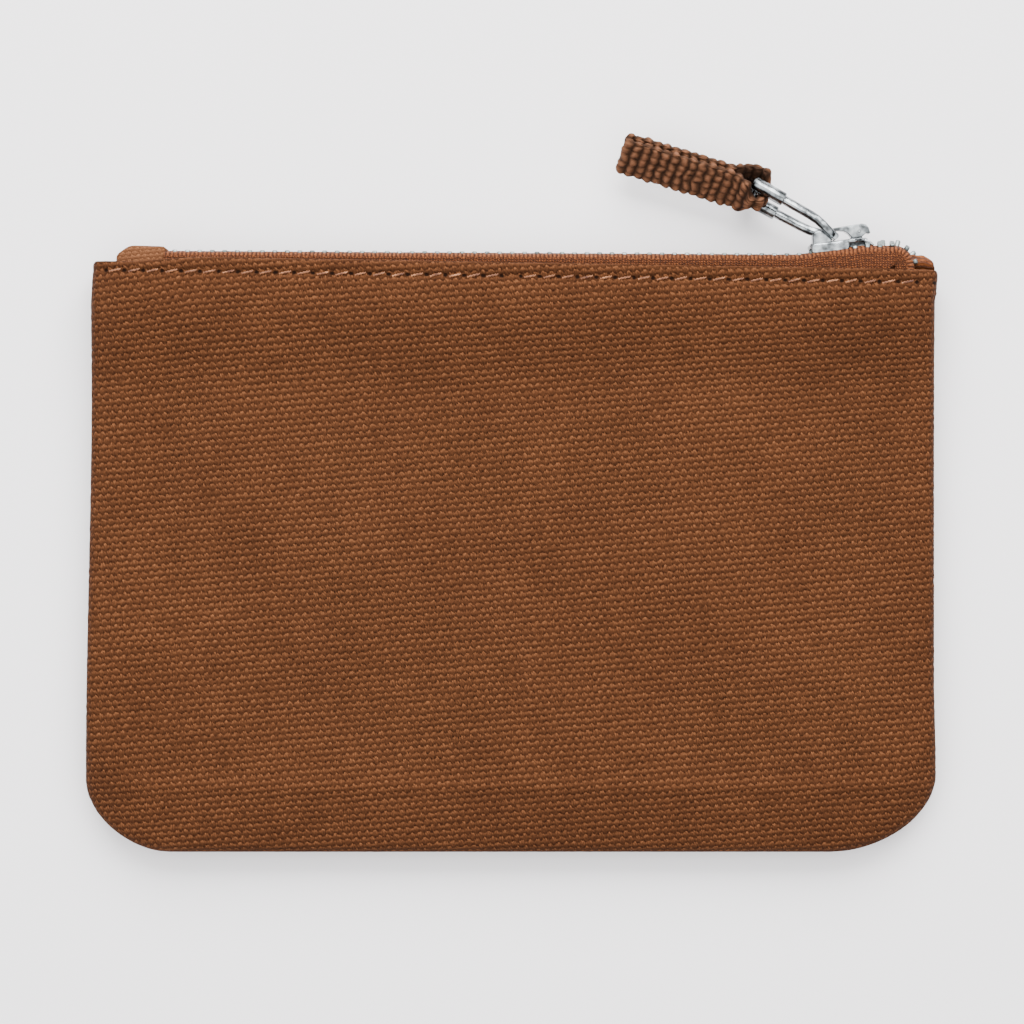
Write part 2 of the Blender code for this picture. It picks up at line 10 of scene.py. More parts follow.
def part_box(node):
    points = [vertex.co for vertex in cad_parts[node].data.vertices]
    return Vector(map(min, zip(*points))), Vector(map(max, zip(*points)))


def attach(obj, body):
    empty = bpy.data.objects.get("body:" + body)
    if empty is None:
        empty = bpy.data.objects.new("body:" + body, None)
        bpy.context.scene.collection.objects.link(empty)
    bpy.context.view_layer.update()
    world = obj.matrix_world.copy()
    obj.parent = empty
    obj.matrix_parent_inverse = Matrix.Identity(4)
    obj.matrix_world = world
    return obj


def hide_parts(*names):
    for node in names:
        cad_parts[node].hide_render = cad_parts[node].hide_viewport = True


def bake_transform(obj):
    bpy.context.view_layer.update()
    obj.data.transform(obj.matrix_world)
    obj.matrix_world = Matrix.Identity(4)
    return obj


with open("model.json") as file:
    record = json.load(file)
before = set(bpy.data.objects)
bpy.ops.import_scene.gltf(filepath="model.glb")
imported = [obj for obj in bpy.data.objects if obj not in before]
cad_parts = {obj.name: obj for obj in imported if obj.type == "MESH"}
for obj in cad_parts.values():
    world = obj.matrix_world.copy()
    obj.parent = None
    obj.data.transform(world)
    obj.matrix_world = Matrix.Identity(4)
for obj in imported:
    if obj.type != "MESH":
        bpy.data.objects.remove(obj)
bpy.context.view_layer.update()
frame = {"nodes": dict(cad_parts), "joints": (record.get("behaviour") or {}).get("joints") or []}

MM = 0.001
Z_UP = Vector((0.0, 0.0, 1.0))

# A flat canvas pouch with a metal zip lies on its back. Places taken from its frame
panel_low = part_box("front_panel")[0]
back_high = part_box("back_panel")[1]
slider_low, slider_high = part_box("slider_body")
tab_low, tab_high = (Vector(corner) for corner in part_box("end_tab"))
teeth_low, teeth_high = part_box("front_teeth")
joints = {joint["name"]: joint for joint in frame["joints"]}
PIVOT = Vector(joints["pull_swing"]["pos_m"])
CROSSBAR = Vector(joints["webbing_swing"]["pos_m"])
ZIP_Z = (slider_low.z + slider_high.z) / 2
SEAM_Z = (panel_low.z + back_high.z) / 2 if back_high.z < panel_low.z else 5.0 * MM
CHAIN_Y = (teeth_low.y + teeth_high.y) / 2
TAB_RIGHT = tab_high.x

# Cloth
CANVAS = 0.65 * MM
WARP_PITCH = 0.686 * MM
WEFT_PITCH = 1.064 * MM
WEAVE_TURN = math.radians(5.5)
ROW_SWAY = 0.20
ROW_RAGGEDNESS = 0.6
FIBRE_LEAN = 0.3
STITCH_PITCH = 3.2 * MM
HOLE_HALF_WIDTH = 0.46 * MM
HOLE_HALF_HEIGHT = 0.33 * MM
TAPE_RIB_PITCH = 0.70 * MM
TAPE_STITCH_WIDTH = 0.46 * MM
TAPE_STITCH_PITCH = 0.40 * MM
RIBS_END = 3.95 * MM
BODY_TOP_Z = 9.2 * MM
HEM_HALF_DEPTH = 5.9 * MM
HEM_TURN_IN = 8.0 * MM
HEM_FOLD_RADIUS = 0.85 * MM


def smooth(low, high, value):
    t = min(1.0, max(0.0, (value - low) / (high - low)))
    return t * t * (3.0 - 2.0 * t)


# ---------------------------------------------------------------- materials

def linear(code):
    """An sRGB hex colour as linear light."""
    values = [int(code[i:i + 2], 16) / 255.0 for i in (0, 2, 4)]
    return tuple(v / 12.92 if v <= 0.04045 else ((v + 0.055) / 1.055) ** 2.4 for v in values) + (1.0,)


def add(tree, kind, links=(), out=0, stops=(), **settings):
    """One output of a new shader node.

    links gives its inputs, by name or in order, a value or another node's output. stops fills a
    colour ramp with (position, hex colour).
    """
    made = tree.nodes.new("ShaderNode" + kind)
    for name, value in settings.items():
        setattr(made, name, value)
    for key, value in links.items() if isinstance(links, dict) else enumerate(links):
        if isinstance(value, bpy.types.NodeSocket):
            tree.links.new(value, made.inputs[key])
        else:
            made.inputs[key].default_value = value
    if stops:
        elements = made.color_ramp.elements
        while len(elements) < len(stops):
            elements.new(0.5)
        for element, (position, code) in zip(elements, stops):
            element.position = position
            element.color = linear(code)
    return made.outputs[out]


def start_material(name, roughness, metallic=0.0):
    made = bpy.data.materials.new(name)
    made.use_nodes = True
    tree = made.node_tree
    shader = tree.nodes["Principled BSDF"]
    shader.inputs["Roughness"].default_value = roughness
    shader.inputs["Metallic"].default_value = metallic
    return made, tree, shader


def dress(tree, shader, colour, height, strength, relief):
    """Colour the surface and raise its bumps by relief metres."""
    bump = add(tree, "Bump", {"Height": height, "Strength": strength, "Distance": relief})
    tree.links.new(colour, shader.inputs["Base Color"])
    tree.links.new(bump, shader.inputs["Normal"])


def grain(tree, vector, across, along, detail=1.0):
    """Noise whose grains are across wide and along tall, in metres."""
    grid = add(tree, "Mapping", {"Vector": vector, "Scale": (1.0 / across, 1.0 / along, 1.0)})
    return add(tree, "TexNoise", {"Vector": grid, "Scale": 1.0, "Detail": detail})


def waves(tree, distance, spacing):
    """Rounded ridges, 0 to 1, at an even spacing."""
    angle = add(tree, "Math", [distance, math.pi / spacing], operation='MULTIPLY')
    return add(tree, "Math", [add(tree, "Math", [angle], operation='SINE')], operation='ABSOLUTE')


def plain_weave(tree, uv, warp, weft, turn):
    """Thick weft under finer warp, from uv in metres: its height, shade, fibres and turned map.

    Each crosswise row is a wavy ridge, raised where the warp rides over it, with ragged fibres along its
    upper edge. Its shade is painted light and shade: each row lighter towards its upper edge as if lit from
    above it, dark in the gap under it, and lighter where the warp rides over.
    """
    wander = add(tree, "TexNoise", {"Vector": uv, "Scale": 1.0 / (5.6 * MM), "Detail": 2.0}, out="Color")
    wander = add(tree, "VectorMath", [wander, (0.5, 0.5, 0.5)], operation='SUBTRACT')
    wander = add(tree, "VectorMath", {0: wander, "Scale": 0.5 * warp}, operation='SCALE')
    moved = add(tree, "VectorMath", [uv, wander], operation='ADD')
    turned = add(tree, "Mapping", {"Vector": moved, "Rotation": (0.0, 0.0, -turn)})
    leaning = add(tree, "Mapping", {"Vector": turned, "Rotation": (0.0, 0.0, -FIBRE_LEAN)})
    fibres = grain(tree, leaning, 0.33 * warp, 0.78 * warp, 2.0)
    column = add(tree, "SeparateXYZ", [turned], out="X")
    column = add(tree, "Math", [column, math.pi / warp], operation='MULTIPLY')
    row = add(tree, "Math", [add(tree, "SeparateXYZ", [turned], out="Y"), weft], operation='DIVIDE')
    half_turns = add(tree, "Math", [row, math.pi], operation='MULTIPLY')
    # 1 where a warp yarn rides over the row and -1 where it dives under
    crowns = add(tree, "Math", [add(tree, "Math", [column], operation='COSINE'),
                                add(tree, "Math", [half_turns], operation='COSINE')], operation='MULTIPLY')
    ragged = add(tree, "Math", [fibres, 0.5], operation='SUBTRACT')
    row = add(tree, "Math", [crowns, -ROW_SWAY, row], operation='MULTIPLY_ADD')
    row = add(tree, "Math", [ragged, -ROW_RAGGEDNESS, row], operation='MULTIPLY_ADD')
    ridge = add(tree, "Math", [row], operation='FRACT')
    # Painted shade: each row is coloured lighter towards its upper edge and dark in the gap under it, as if
    # lit from above it
    rise = add(tree, "MapRange", {"Value": ridge, "From Min": 0.0, "From Max": 0.75},
               interpolation_type='SMOOTHSTEP')
    fall = add(tree, "MapRange", {"Value": ridge, "From Min": 0.80, "From Max": 1.0,
                                  "To Min": 1.0, "To Max": 0.0}, interpolation_type='SMOOTHSTEP')
    shade = add(tree, "Math", [rise, fall], operation='MULTIPLY')
    shade = add(tree, "Math", [shade, add(tree, "Math", [crowns, 0.3, 0.7], operation='MULTIPLY_ADD')],
                operation='MULTIPLY')
    height = waves(tree, ridge, 1.0)
    height = add(tree, "Math", [height, add(tree, "Math", [crowns, 0.25, 0.75], operation='MULTIPLY_ADD')],
                 operation='MULTIPLY')
    return height, shade, fibres, turned


def canvas_material(name, stops, stitched=False, mapped=True,
                    warp=WARP_PITCH, weft=WEFT_PITCH, relief=0.09 * MM):
    """Brushed cotton canvas, plain weave, piece dyed.

    To the eye it is matt and dry, in wavy crosswise ridges with ragged fibres, painted lighter along their
    upper edges as if lit from above, with painted shade in the gaps under them. Without a map of its own a
    piece takes the weave straight from its place.
    """
    made, tree, shader = start_material(name, 0.95)
    shader.inputs["Specular IOR Level"].default_value = 0.06
    uv = add(tree, "UVMap", uv_map="cloth") if mapped else add(tree, "TexCoord", out="Object")
    height, shade, fibres, turned = plain_weave(tree, uv, warp, weft, WEAVE_TURN)
    # On top of the weave: each yarn's own shade, then wear
    warp_shade = grain(tree, turned, warp, 9.0 * MM)
    weft_shade = grain(tree, turned, 7.0 * MM, weft)
    worn = add(tree, "TexNoise", {"Vector": uv, "Scale": 1.0 / (25.0 * MM), "Detail": 3.0})
    # The weave's painted light and shade go into the colour here
    tone = add(tree, "Math", [shade, 0.36], operation='MULTIPLY')
    for value, weight in ((fibres, 1.0), (warp_shade, 0.14), (weft_shade, 0.16), (worn, 0.16)):
        swing = add(tree, "Math", [value, 0.5], operation='SUBTRACT')
        tone = add(tree, "Math", [swing, weight, tone], operation='MULTIPLY_ADD')
    tone = add(tree, "Math", [tone, 0.32], operation='ADD')
    colour = add(tree, "ValToRGB", [tone], stops=stops)
    height = add(tree, "Math", [fibres, height], operation='ADD')
    if stitched:
        hole = needle_holes(tree)
        # Painted shade: the needle holes are coloured near black for the shade inside them, as well as sunk
        colour = add(tree, "Mix", {0: hole, 6: colour, 7: linear("140904")}, out=2, data_type='RGBA')
        sunk = add(tree, "Math", [hole, 1.2], operation='MULTIPLY')
        height = add(tree, "Math", [height, sunk], operation='SUBTRACT')
    dress(tree, shader, colour, height, 1.0, relief)
    return made


def needle_holes(tree):
    """Mask of the dark ragged holes the needle left between stitches, from the seam's own map."""
    uv = add(tree, "UVMap", uv_map="stitch")
    ragged = add(tree, "TexNoise", {"Vector": uv, "Scale": 9.0, "Detail": 2.0})
    along = add(tree, "Math", [add(tree, "SeparateXYZ", [uv], out="X")], operation='FRACT')
    along = add(tree, "Math", [along, 0.5], operation='SUBTRACT')
    wide = add(tree, "Math", [along, STITCH_PITCH / HOLE_HALF_WIDTH], operation='MULTIPLY')
    tall = add(tree, "Math", [add(tree, "SeparateXYZ", [uv], out="Y"), 1.0 / HOLE_HALF_HEIGHT],
               operation='MULTIPLY')
    far = add(tree, "Math", [wide, wide, add(tree, "Math", [tall, tall], operation='MULTIPLY')],
              operation='MULTIPLY_ADD')
    far = add(tree, "Math", [add(tree, "Math", [far], operation='SQRT'), 0.45], operation='SUBTRACT')
    far = add(tree, "Math", [ragged, 0.9, far], operation='MULTIPLY_ADD')
    return add(tree, "MapRange", {"Value": far, "From Min": 0.55, "From Max": 1.15,
                                  "To Min": 1.0, "To Max": 0.0})


def tape_material():
    """Woven polyester zip tape.

    To the eye it is smoother than the canvas and a little glossy: ribs over its edge cord, and rows
    of fine slanting stitches below them.
    """
    made, tree, shader = start_material("woven_zip_tape", 0.7)
    shader.inputs["Specular IOR Level"].default_value = 0.15
    uv = add(tree, "UVMap", uv_map="cloth")
    along, across = (add(tree, "SeparateXYZ", [uv], out=axis) for axis in ("X", "Y"))
    fluff = add(tree, "TexNoise", {"Vector": uv, "Scale": 1.0 / (0.42 * MM), "Detail": 2.0})
    jitter = add(tree, "Math", [fluff, 0.5], operation='SUBTRACT')
    jitter = add(tree, "Math", [jitter, 0.45 * MM], operation='MULTIPLY')
    along = add(tree, "Math", [along, jitter], operation='ADD')
    ribs = waves(tree, along, TAPE_RIB_PITCH)
    column = add(tree, "Math", [along, TAPE_STITCH_WIDTH], operation='DIVIDE')
    lean = add(tree, "Math", [column, 1.0], operation='PINGPONG')
    slant = add(tree, "Math", [across, jitter], operation='ADD')
    slant = add(tree, "Math", [lean, 0.22 * MM, slant], operation='MULTIPLY_ADD')
    beads = add(tree, "Math", [waves(tree, column, 1.0), 0.85, 0.15], operation='MULTIPLY_ADD')
    beads = add(tree, "Math", [beads, waves(tree, slant, TAPE_STITCH_PITCH)], operation='MULTIPLY')
    below = add(tree, "MapRange", {"Value": across, "From Min": RIBS_END - 0.2 * MM,
                                   "From Max": RIBS_END + 0.2 * MM})
    height = add(tree, "Mix", {0: below, 2: ribs, 3: beads}, data_type='FLOAT')
    # Painted shade: the colour follows the height, darker in the grooves between the ribs and between the
    # stitches
    tone = add(tree, "Math", [height, 0.42], operation='MULTIPLY')
    tone = add(tree, "Math", [fluff, 0.7, tone], operation='MULTIPLY_ADD')
    colour = add(tree, "ValToRGB", [tone], stops=[(0.30, "241005"), (0.60, "4F2913"), (1.0, "894F2A")])
    dress(tree, shader, colour, height, 1.0, 0.15 * MM)
    return made


def webbing_material():
    """Ribbed cotton webbing. To the eye it is matt, with pale cords and nearly black gaps.

    The cords are in the mesh; the yarn's twist and fuzz are here, with painted shade: the colour darker in
    the gaps between the cords and inside the loop.
    """
    made, tree, shader = start_material("ribbed_cotton_webbing", 0.85)
    shader.inputs["Specular IOR Level"].default_value = 0.12
    uv = add(tree, "UVMap", uv_map="cloth")
    # The relief attribute carries the cords' height and the painted shade inside the loop
    proud = add(tree, "Attribute", out="Fac", attribute_name="relief")
    twisted = add(tree, "Mapping", {"Vector": uv, "Rotation": (0.0, 0.0, 0.5)})
    strands = grain(tree, twisted, 0.5 * MM, 0.16 * MM, 3.0)
    # Painted shade: the colour follows the cords' height, nearly black in the gaps between them
    tone = add(tree, "Math", [proud, 0.70], operation='MULTIPLY')
    tone = add(tree, "Math", [strands, 0.42, tone], operation='MULTIPLY_ADD')
    colour = add(tree, "ValToRGB", [tone], stops=[(0.12, "1A0E08"), (0.50, "3B2517"), (1.0, "6F4832")])
    dress(tree, shader, colour, strands, 0.8, 0.12 * MM)
    return made


def thread_material():
    """Polyester core thread. To the eye it is smooth, slightly shiny and lighter than the cloth."""
    made, tree, shader = start_material("polyester_thread", 0.55)
    place = add(tree, "TexCoord", out="Object")
    shade = add(tree, "TexNoise", {"Vector": place, "Scale": 1.0 / (1.1 * MM), "Detail": 2.0})
    colour = add(tree, "ValToRGB", [shade], stops=[(0.30, "4A2615"), (0.55, "80502F"), (0.8, "B07850")])
    tree.links.new(colour, shader.inputs["Base Color"])
    return made


def nickel_material(name, roughness, dark_patch_colour, code, bright):
    """Nickel plate on stamped or cast metal, tumbled.

    To the eye it is bright and grey, its reflections gently broken, with painted reflections: its colour
    mottled in darker and brighter patches.
    """
    made, tree, shader = start_material(name, roughness, 1.0)
    place = add(tree, "TexCoord", out="Object")
    marks, swells, painted_reflection_mottle = (
        add(tree, "TexNoise", {"Vector": place, "Scale": 1.0 / size, "Detail": detail})
        for size, detail in ((0.7 * MM, 3.0), (2.1 * MM, 1.0), (1.9 * MM, 2.0)))
    rough = add(tree, "MapRange", {"Value": marks, "From Min": 0.3, "From Max": 0.7,
                                   "To Min": roughness * 0.75, "To Max": roughness * 1.3})
    tree.links.new(rough, shader.inputs["Roughness"])
    # Painted reflection: the colour is mottled at random in dark and bright patches
    colour = add(tree, "ValToRGB", [painted_reflection_mottle], stops=[(0.36, dark_patch_colour), (0.48, code), (0.66, bright)])
    height = add(tree, "Math", [marks, 0.12, swells], operation='MULTIPLY_ADD')
    dress(tree, shader, colour, height, 0.6, 0.26 * MM)
    return made


def board_material():
    """Painted board under the pouch. To the eye it is even, matt and nearly white."""
    made, tree, shader = start_material("pale_floor", 0.9)
    shader.inputs["Base Color"].default_value = linear("F7F4F5")
    return made


CANVAS_STOPS = [(0.12, "1F0E05"), (0.52, "432716"), (1.0, "7D4F31")]
TAB_STOPS = [(0.05, "3B2214"), (0.5, "5D3B26"), (1.0, "8A5C3E")]
canvas = canvas_material("cotton_canvas", CANVAS_STOPS, stitched=True)
tab_canvas = canvas_material("cotton_canvas_tab", TAB_STOPS,
                             warp=0.52 * MM, weft=0.70 * MM, relief=0.06 * MM)
plain_canvas = canvas_material("cotton_canvas_inside", CANVAS_STOPS, mapped=False)
zip_tape = tape_material()
webbing = webbing_material()
thread = thread_material()
# The first colour of each metal is the dark patches of its painted reflections
nickel = nickel_material("nickel_plated_zinc", 0.20, "46494A", "7E8284", "A9ADAE")
tooth_metal = nickel_material("nickel_plated_brass_teeth", 0.34, "4C5251", "6C7372", "8A9190")


# ---------------------------------------------------------------- helpers for pieces

def finish_piece(name, bm, look, body, node_names, smooth_faces=True):
    """Turn a bmesh into a piece that rides on a body and stands for CAD nodes."""
    mesh = bpy.data.meshes.new(name)
    bm.to_mesh(mesh)
    bm.free()
    piece = bpy.data.objects.new(name, mesh)
    bpy.context.scene.collection.objects.link(piece)
    mesh.materials.append(look)
    if smooth_faces:
        mesh.shade_smooth()
    if body:
        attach(piece, body)
    if node_names:
        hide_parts(*node_names)
    return piece


def bend_open(piece):
    """Bake the piece's placement into its mesh; the cloth is not bent open here."""
    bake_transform(piece)


def mapped_grid(columns, rows, place, layers):
    """A grid whose vertices place(column, row) puts; layers maps a UV map's name to a function."""
    bm = bmesh.new()
    bmesh.ops.create_grid(bm, x_segments=columns - 1, y_segments=rows - 1, size=1.0)
    index = {}
    for vert in bm.verts:
        column = round((vert.co.x + 1.0) / 2.0 * (columns - 1))
        row = round((vert.co.y + 1.0) / 2.0 * (rows - 1))
        index[vert] = (column, row)
        vert.co = place(column, row)
    for name, where in layers.items():
        layer = bm.loops.layers.uv.new(name)
        for face in bm.faces:
            for loop in face.loops:
                loop[layer].uv = where(*index[loop.vert])
    return bm


def steps(marks):
    """Values from (end, spacing) marks: evenly spaced stretches, one after the other."""
    values = [marks[0][0]]
    for end, spacing in marks[1:]:
        start = values[-1]
        count = max(1, round(abs(end - start) / spacing))
        values += [start + (end - start) * (i + 1) / count for i in range(count)]
    return values


# ---------------------------------------------------------------- the sewn outline

# A lower corner is (centre x, centre y, half width, half height, power) of a superellipse
LEFT_CORNER = (-58.6 * MM, -38.1 * MM, 14.4 * MM, 12.4 * MM, 1.8)
RIGHT_CORNER = (54.8 * MM, -37.3 * MM, 18.0 * MM, 13.2 * MM, 1.85)
LOWEST_Y = -50.5 * MM
# Towards the seams the cloth falls away over (width, share of the half thickness)
SIDE_SLOPE = (5.5 * MM, 0.30)
BOTTOM_SLOPE = (10.9 * MM, 0.62)
EDGE_ROLL_RADIUS = 1.5 * MM


def corner_reach(share, power):
    """How far a superellipse of unit size reaches one way, at a share of its way out the other."""
    return max(0.0, 1.0 - min(1.0, share) ** power) ** (1 / power)


def left_edge(y):
    edge = -71.65 * MM - 0.35 * MM * smooth(50 * MM, 43 * MM, y) - 1.0 * MM * smooth(30 * MM, -36 * MM, y)
    centre_x, centre_y, wide, tall, power = LEFT_CORNER
    fall = (centre_y - y) / tall
    if fall > 0.0:
        edge = centre_x - wide * corner_reach(fall, power)
    return edge + edge_fuzz(y, 3.0)


def right_edge(y):
    edge = 72.5 * MM + 0.3 * MM * smooth(-20 * MM, -36 * MM, y) + 0.55 * MM * smooth(43 * MM, 49 * MM, y)
    centre_x, centre_y, wide, tall, power = RIGHT_CORNER
    fall = (centre_y - y) / tall
    if fall > 0.0:
        edge = centre_x + wide * corner_reach(fall, power)
    return edge + edge_fuzz(y, 7.0)


def edge_fuzz(y, seed):
    """Crowns of the weave standing out along a folded edge."""
    return 0.09 * MM * noise.noise(Vector((y / (0.9 * MM), seed, 0.0)))


def hem_edge(x):
    """Height of the folded top edge, which falls a little towards the slider's end."""
    return 50.2 * MM - 0.0172 * x - 0.95 * MM * smooth(-52 * MM, -66 * MM, x) + 0.05 * MM * noise.noise(
        Vector((x / (1.2 * MM), 11.0, 0.0)))


def stitch_line(x):
    return 47.8 * MM - 0.0149 * x


def edge_roll(depth, slope_width, drop):
    """1 inside the panel, falling gently over the seam allowance and rolling over at the edge."""
    slope = 1.0 - drop * (1.0 - min(1.0, max(0.0, depth) / slope_width)) ** 1.3
    round_off = 1.0 - min(1.0, max(0.0, depth) / EDGE_ROLL_RADIUS)
    return slope * math.sqrt(max(0.0, 1.0 - round_off * round_off))


def bottom_line(x):
    """The lower edge under a point, corners included."""
    for way, (centre_x, centre_y, wide, tall, power) in ((-1, LEFT_CORNER), (1, RIGHT_CORNER)):
        share = way * (x - centre_x) / wide
        if share > 0.0:
            return centre_y - tall * corner_reach(share, power)
    return LOWEST_Y


def panel_z(x, y, side):
    """Outer face of the front (side 1) or back (side -1) panel."""
    lift = smooth(28 * MM, 45 * MM, y)
    edge_gap = 0.03 * MM * side
    if side > 0:
        full = BODY_TOP_Z + (ZIP_Z + HEM_HALF_DEPTH - BODY_TOP_Z) * lift
        rumple = noise.noise(Vector((x / (34 * MM), y / (26 * MM), 4.2)))
        rumple += 0.5 * noise.noise(Vector((x / (15 * MM), y / (13 * MM), 9.1)))
        full += 0.38 * MM * rumple
        full += 0.30 * MM * math.exp(-((y + 39.0 * MM) / (1.2 * MM)) ** 2)
        full -= pucker(x, y)
    else:
        full = 0.4 * MM * lift
    depth_side = min(x - left_edge(y), right_edge(y) - x)
    depth_bottom = y - bottom_line(x)
    shape = edge_roll(depth_side, *SIDE_SLOPE) * edge_roll(depth_bottom, *BOTTOM_SLOPE)
    return SEAM_Z + edge_gap + (full - SEAM_Z) * shape


def pucker(x, y):
    """The stitches pull the cloth in along their line and pinch it at each needle hole."""
    beside = (y - stitch_line(x)) / (0.75 * MM)
    wave = 0.5 - 0.5 * math.cos(2 * math.pi * x / STITCH_PITCH)
    return (0.30 + 0.16 * wave) * MM * math.exp(-beside * beside)


# ---------------------------------------------------------------- panels

def panel_rows():
    """Stations up the panel: (height, turn, down), over the fold and down inside the hem."""
    heights = steps([(LOWEST_Y, 0), (-48.9 * MM, 0.16 * MM), (-36 * MM, 0.45 * MM), (40 * MM, 0.8 * MM),
                     (45 * MM, 0.5 * MM), (50.2 * MM - HEM_FOLD_RADIUS, 0.2 * MM)])
    rows = [(y, 0.0, 0.0) for y in heights]
    rows += [(heights[-1], math.pi * i / 10, 0.0) for i in range(1, 11)]
    rows += [(heights[-1], math.pi, HEM_TURN_IN * i / 10) for i in range(1, 11)]
    return rows


def make_panel(name, side, left, right, columns, look, body, nodes):
    """One panel, or a half of one, from column fraction left to right (-1 to 1)."""
    rows = panel_rows()
    top_row = sum(1 for row in rows if row[1] == 0.0) - 1
    reference_top = rows[top_row][0]
    points = []
    for y_ref, turn, down in rows:
        line = []
        for share in columns:
            # x first at the row's own height, then the height follows the tilted hem
            x = -share * left_edge(y_ref) if share < 0 else share * right_edge(y_ref)
            x *= 1.0 - 0.03 * min(1.0, turn / math.pi)
            tilt = smooth(20 * MM, 47 * MM, y_ref)
            top_shift = (hem_edge(x) - HEM_FOLD_RADIUS - reference_top) * tilt
            y = y_ref + top_shift
            z = panel_z(x, y, side)
            if turn:
                shrink = edge_roll(min(x - left_edge(y_ref), right_edge(y_ref) - x), *SIDE_SLOPE)
                radius = HEM_FOLD_RADIUS
                y += radius * math.sin(turn) - down
                z -= side * radius * shrink * (1.0 - math.cos(turn))
            line.append(Vector((x, y, z)))
        points.append(line)
    middle = min(range(len(columns)), key=lambda i: abs(columns[i]))
    lengths_v = [0.0]
    for below, above in zip(points, points[1:]):
        lengths_v.append(lengths_v[-1] + (above[middle] - below[middle]).length)
    lengths_u = []
    for line in points:
        row = [0.0] * len(line)
        for i in range(middle + 1, len(line)):
            row[i] = row[i - 1] + (line[i] - line[i - 1]).length
        for i in range(middle - 1, -1, -1):
            row[i] = row[i + 1] - (line[i + 1] - line[i]).length
        lengths_u.append(row)

    def seam_uv(column, row):
        point = points[row][column]
        beside = point.y - stitch_line(point.x) if row <= top_row else 10 * MM
        return point.x / STITCH_PITCH, beside

    bm = mapped_grid(len(columns), len(rows), lambda c, r: points[r][c],
                     {"cloth": lambda c, r: (lengths_u[r][c], lengths_v[r]), "stitch": seam_uv})
    if side < 0:
        bmesh.ops.reverse_faces(bm, faces=bm.faces)
    flat_area = sum(face.calc_area() for face in bm.faces)
    bmesh.ops.solidify(bm, geom=bm.faces[:], thickness=CANVAS)
    if left == 0 or right == 0:
        # The halves meet here without a visible crease
        for face in bm.faces:
            if all(abs(v.co.x) < 0.001 * MM for v in face.verts):
                for edge in face.edges:
                    edge.smooth = False
    piece = finish_piece(name, bm, look, body, nodes)
    return piece


def half_columns(side):
    """Column fractions from the side seam to the middle, close together near the seam."""
    inner = [1.0 - d for d in steps([(0.0, 0), (0.022, 0.0025), (0.08, 0.006), (1.0, 0.0118)])]
    return [-share for share in inner] if side < 0 else list(reversed(inner))


def make_panels():
    make_panel("back_panel_cloth", -1, -1, 1, half_columns(-1) + half_columns(1)[1:], canvas,
               "back_half", ["back_panel"])
    for side, label in ((-1, "left"), (1, "right")):
        nodes = ["front_panel"] if side < 0 else []
        piece = make_panel(f"front_panel_cloth_{label}", 1, min(side, 0), max(side, 0), half_columns(side),
                           canvas, None, nodes)
        bend_open(piece)


# ---------------------------------------------------------------- sewing

def twisted_stitch(bm, start, end, lift, radius):
    """One stitch: two plies wound round each other, dipping into the cloth at both ends."""
    segments = 14
    sides = 5
    along = (end - start).normalized()
    beside = along.cross(Z_UP).normalized()
    for ply in (0.0, math.pi):
        rings = []
        for i in range(segments + 1):
            t = i / segments
            centre = start.lerp(end, t) + Z_UP * lift * math.sin(math.pi * t)
            wind = ply + t * 2.0 * math.pi * 1.9
            offset = 0.55 * radius * (math.cos(wind) * beside + math.sin(wind) * Z_UP)
            ring = bmesh.ops.create_circle(bm, cap_ends=False, segments=sides, radius=0.62 * radius)["verts"]
            turn = along.to_track_quat('Z', 'Y').to_matrix().to_4x4()
            bmesh.ops.transform(bm, matrix=Matrix.Translation(centre + offset) @ turn, verts=ring)
            rings.append(ring)
        for first, second in zip(rings, rings[1:]):
            edges = {e for v in first for e in v.link_edges if e.other_vert(v) in first}
            edges |= {e for v in second for e in v.link_edges if e.other_vert(v) in second}
            bmesh.ops.bridge_loops(bm, edges=list(edges))


def make_topstitch(name, side, low_x, high_x, body, nodes):
    bm = bmesh.new()
    half = 0.31 * STITCH_PITCH
    rise = 0.26 * MM
    first = math.ceil((low_x + half) / STITCH_PITCH)
    last = math.floor((high_x - half) / STITCH_PITCH)
    chooser = random.Random(5 + side)
    for index in range(first, last + 1):
        x = index * STITCH_PITCH
        if low_x == 0 and index == 0:
            continue
        ends = []
        for step in (-1, 1):
            px = x + step * half * (1.0 + 0.08 * chooser.uniform(-1, 1))
            py = stitch_line(px) + step * rise + 0.06 * MM * chooser.uniform(-1, 1)
            z = panel_z(px, py, side) - side * 0.05 * MM
            ends.append(Vector((px, py, z)))
        twisted_stitch(bm, ends[0], ends[1], side * 0.24 * MM, 0.19 * MM)
    bmesh.ops.recalc_face_normals(bm, faces=bm.faces)
    return finish_piece(name, bm, thread, body, nodes)


def make_sewing():
    make_topstitch("back_topstitch_thread", -1, -70 * MM, 70 * MM, "back_half", ["back_topstitch"])
    for side, label in ((-1, "left"), (1, "right")):
        low, high = (-70 * MM, 0.9 * MM) if side < 0 else (0.9 * MM, 70 * MM)
        piece = make_topstitch(f"front_topstitch_{label}", 1, low, high, None,
                               ["front_topstitch"] if side < 0 else [])
        bend_open(piece)


# ---------------------------------------------------------------- zip

SLIDER_CENTRE = Vector(((slider_low.x + slider_high.x) / 2, 52.15 * MM, ZIP_Z))
SLIDER_TILT = math.radians(7.0)
CURL_X = 65.2 * MM
CURL_RADIUS = 2.9 * MM
CURL_END = CURL_X + CURL_RADIUS * math.pi / 2
TOOTH_PITCH = 2.13 * MM
FREE_START_X = 58.5 * MM
PARTING_X = 51.0 * MM


def chain_y(x):
    """Height of the chain's middle: level, then up through the tilted slider."""
    level = CHAIN_Y - 0.006 * x
    ramp_line = SLIDER_CENTRE.y + (x - SLIDER_CENTRE.x) * math.tan(SLIDER_TILT)
    share = smooth(46 * MM, 53 * MM, x)
    return level + (min(ramp_line, 52.6 * MM) - level) * share


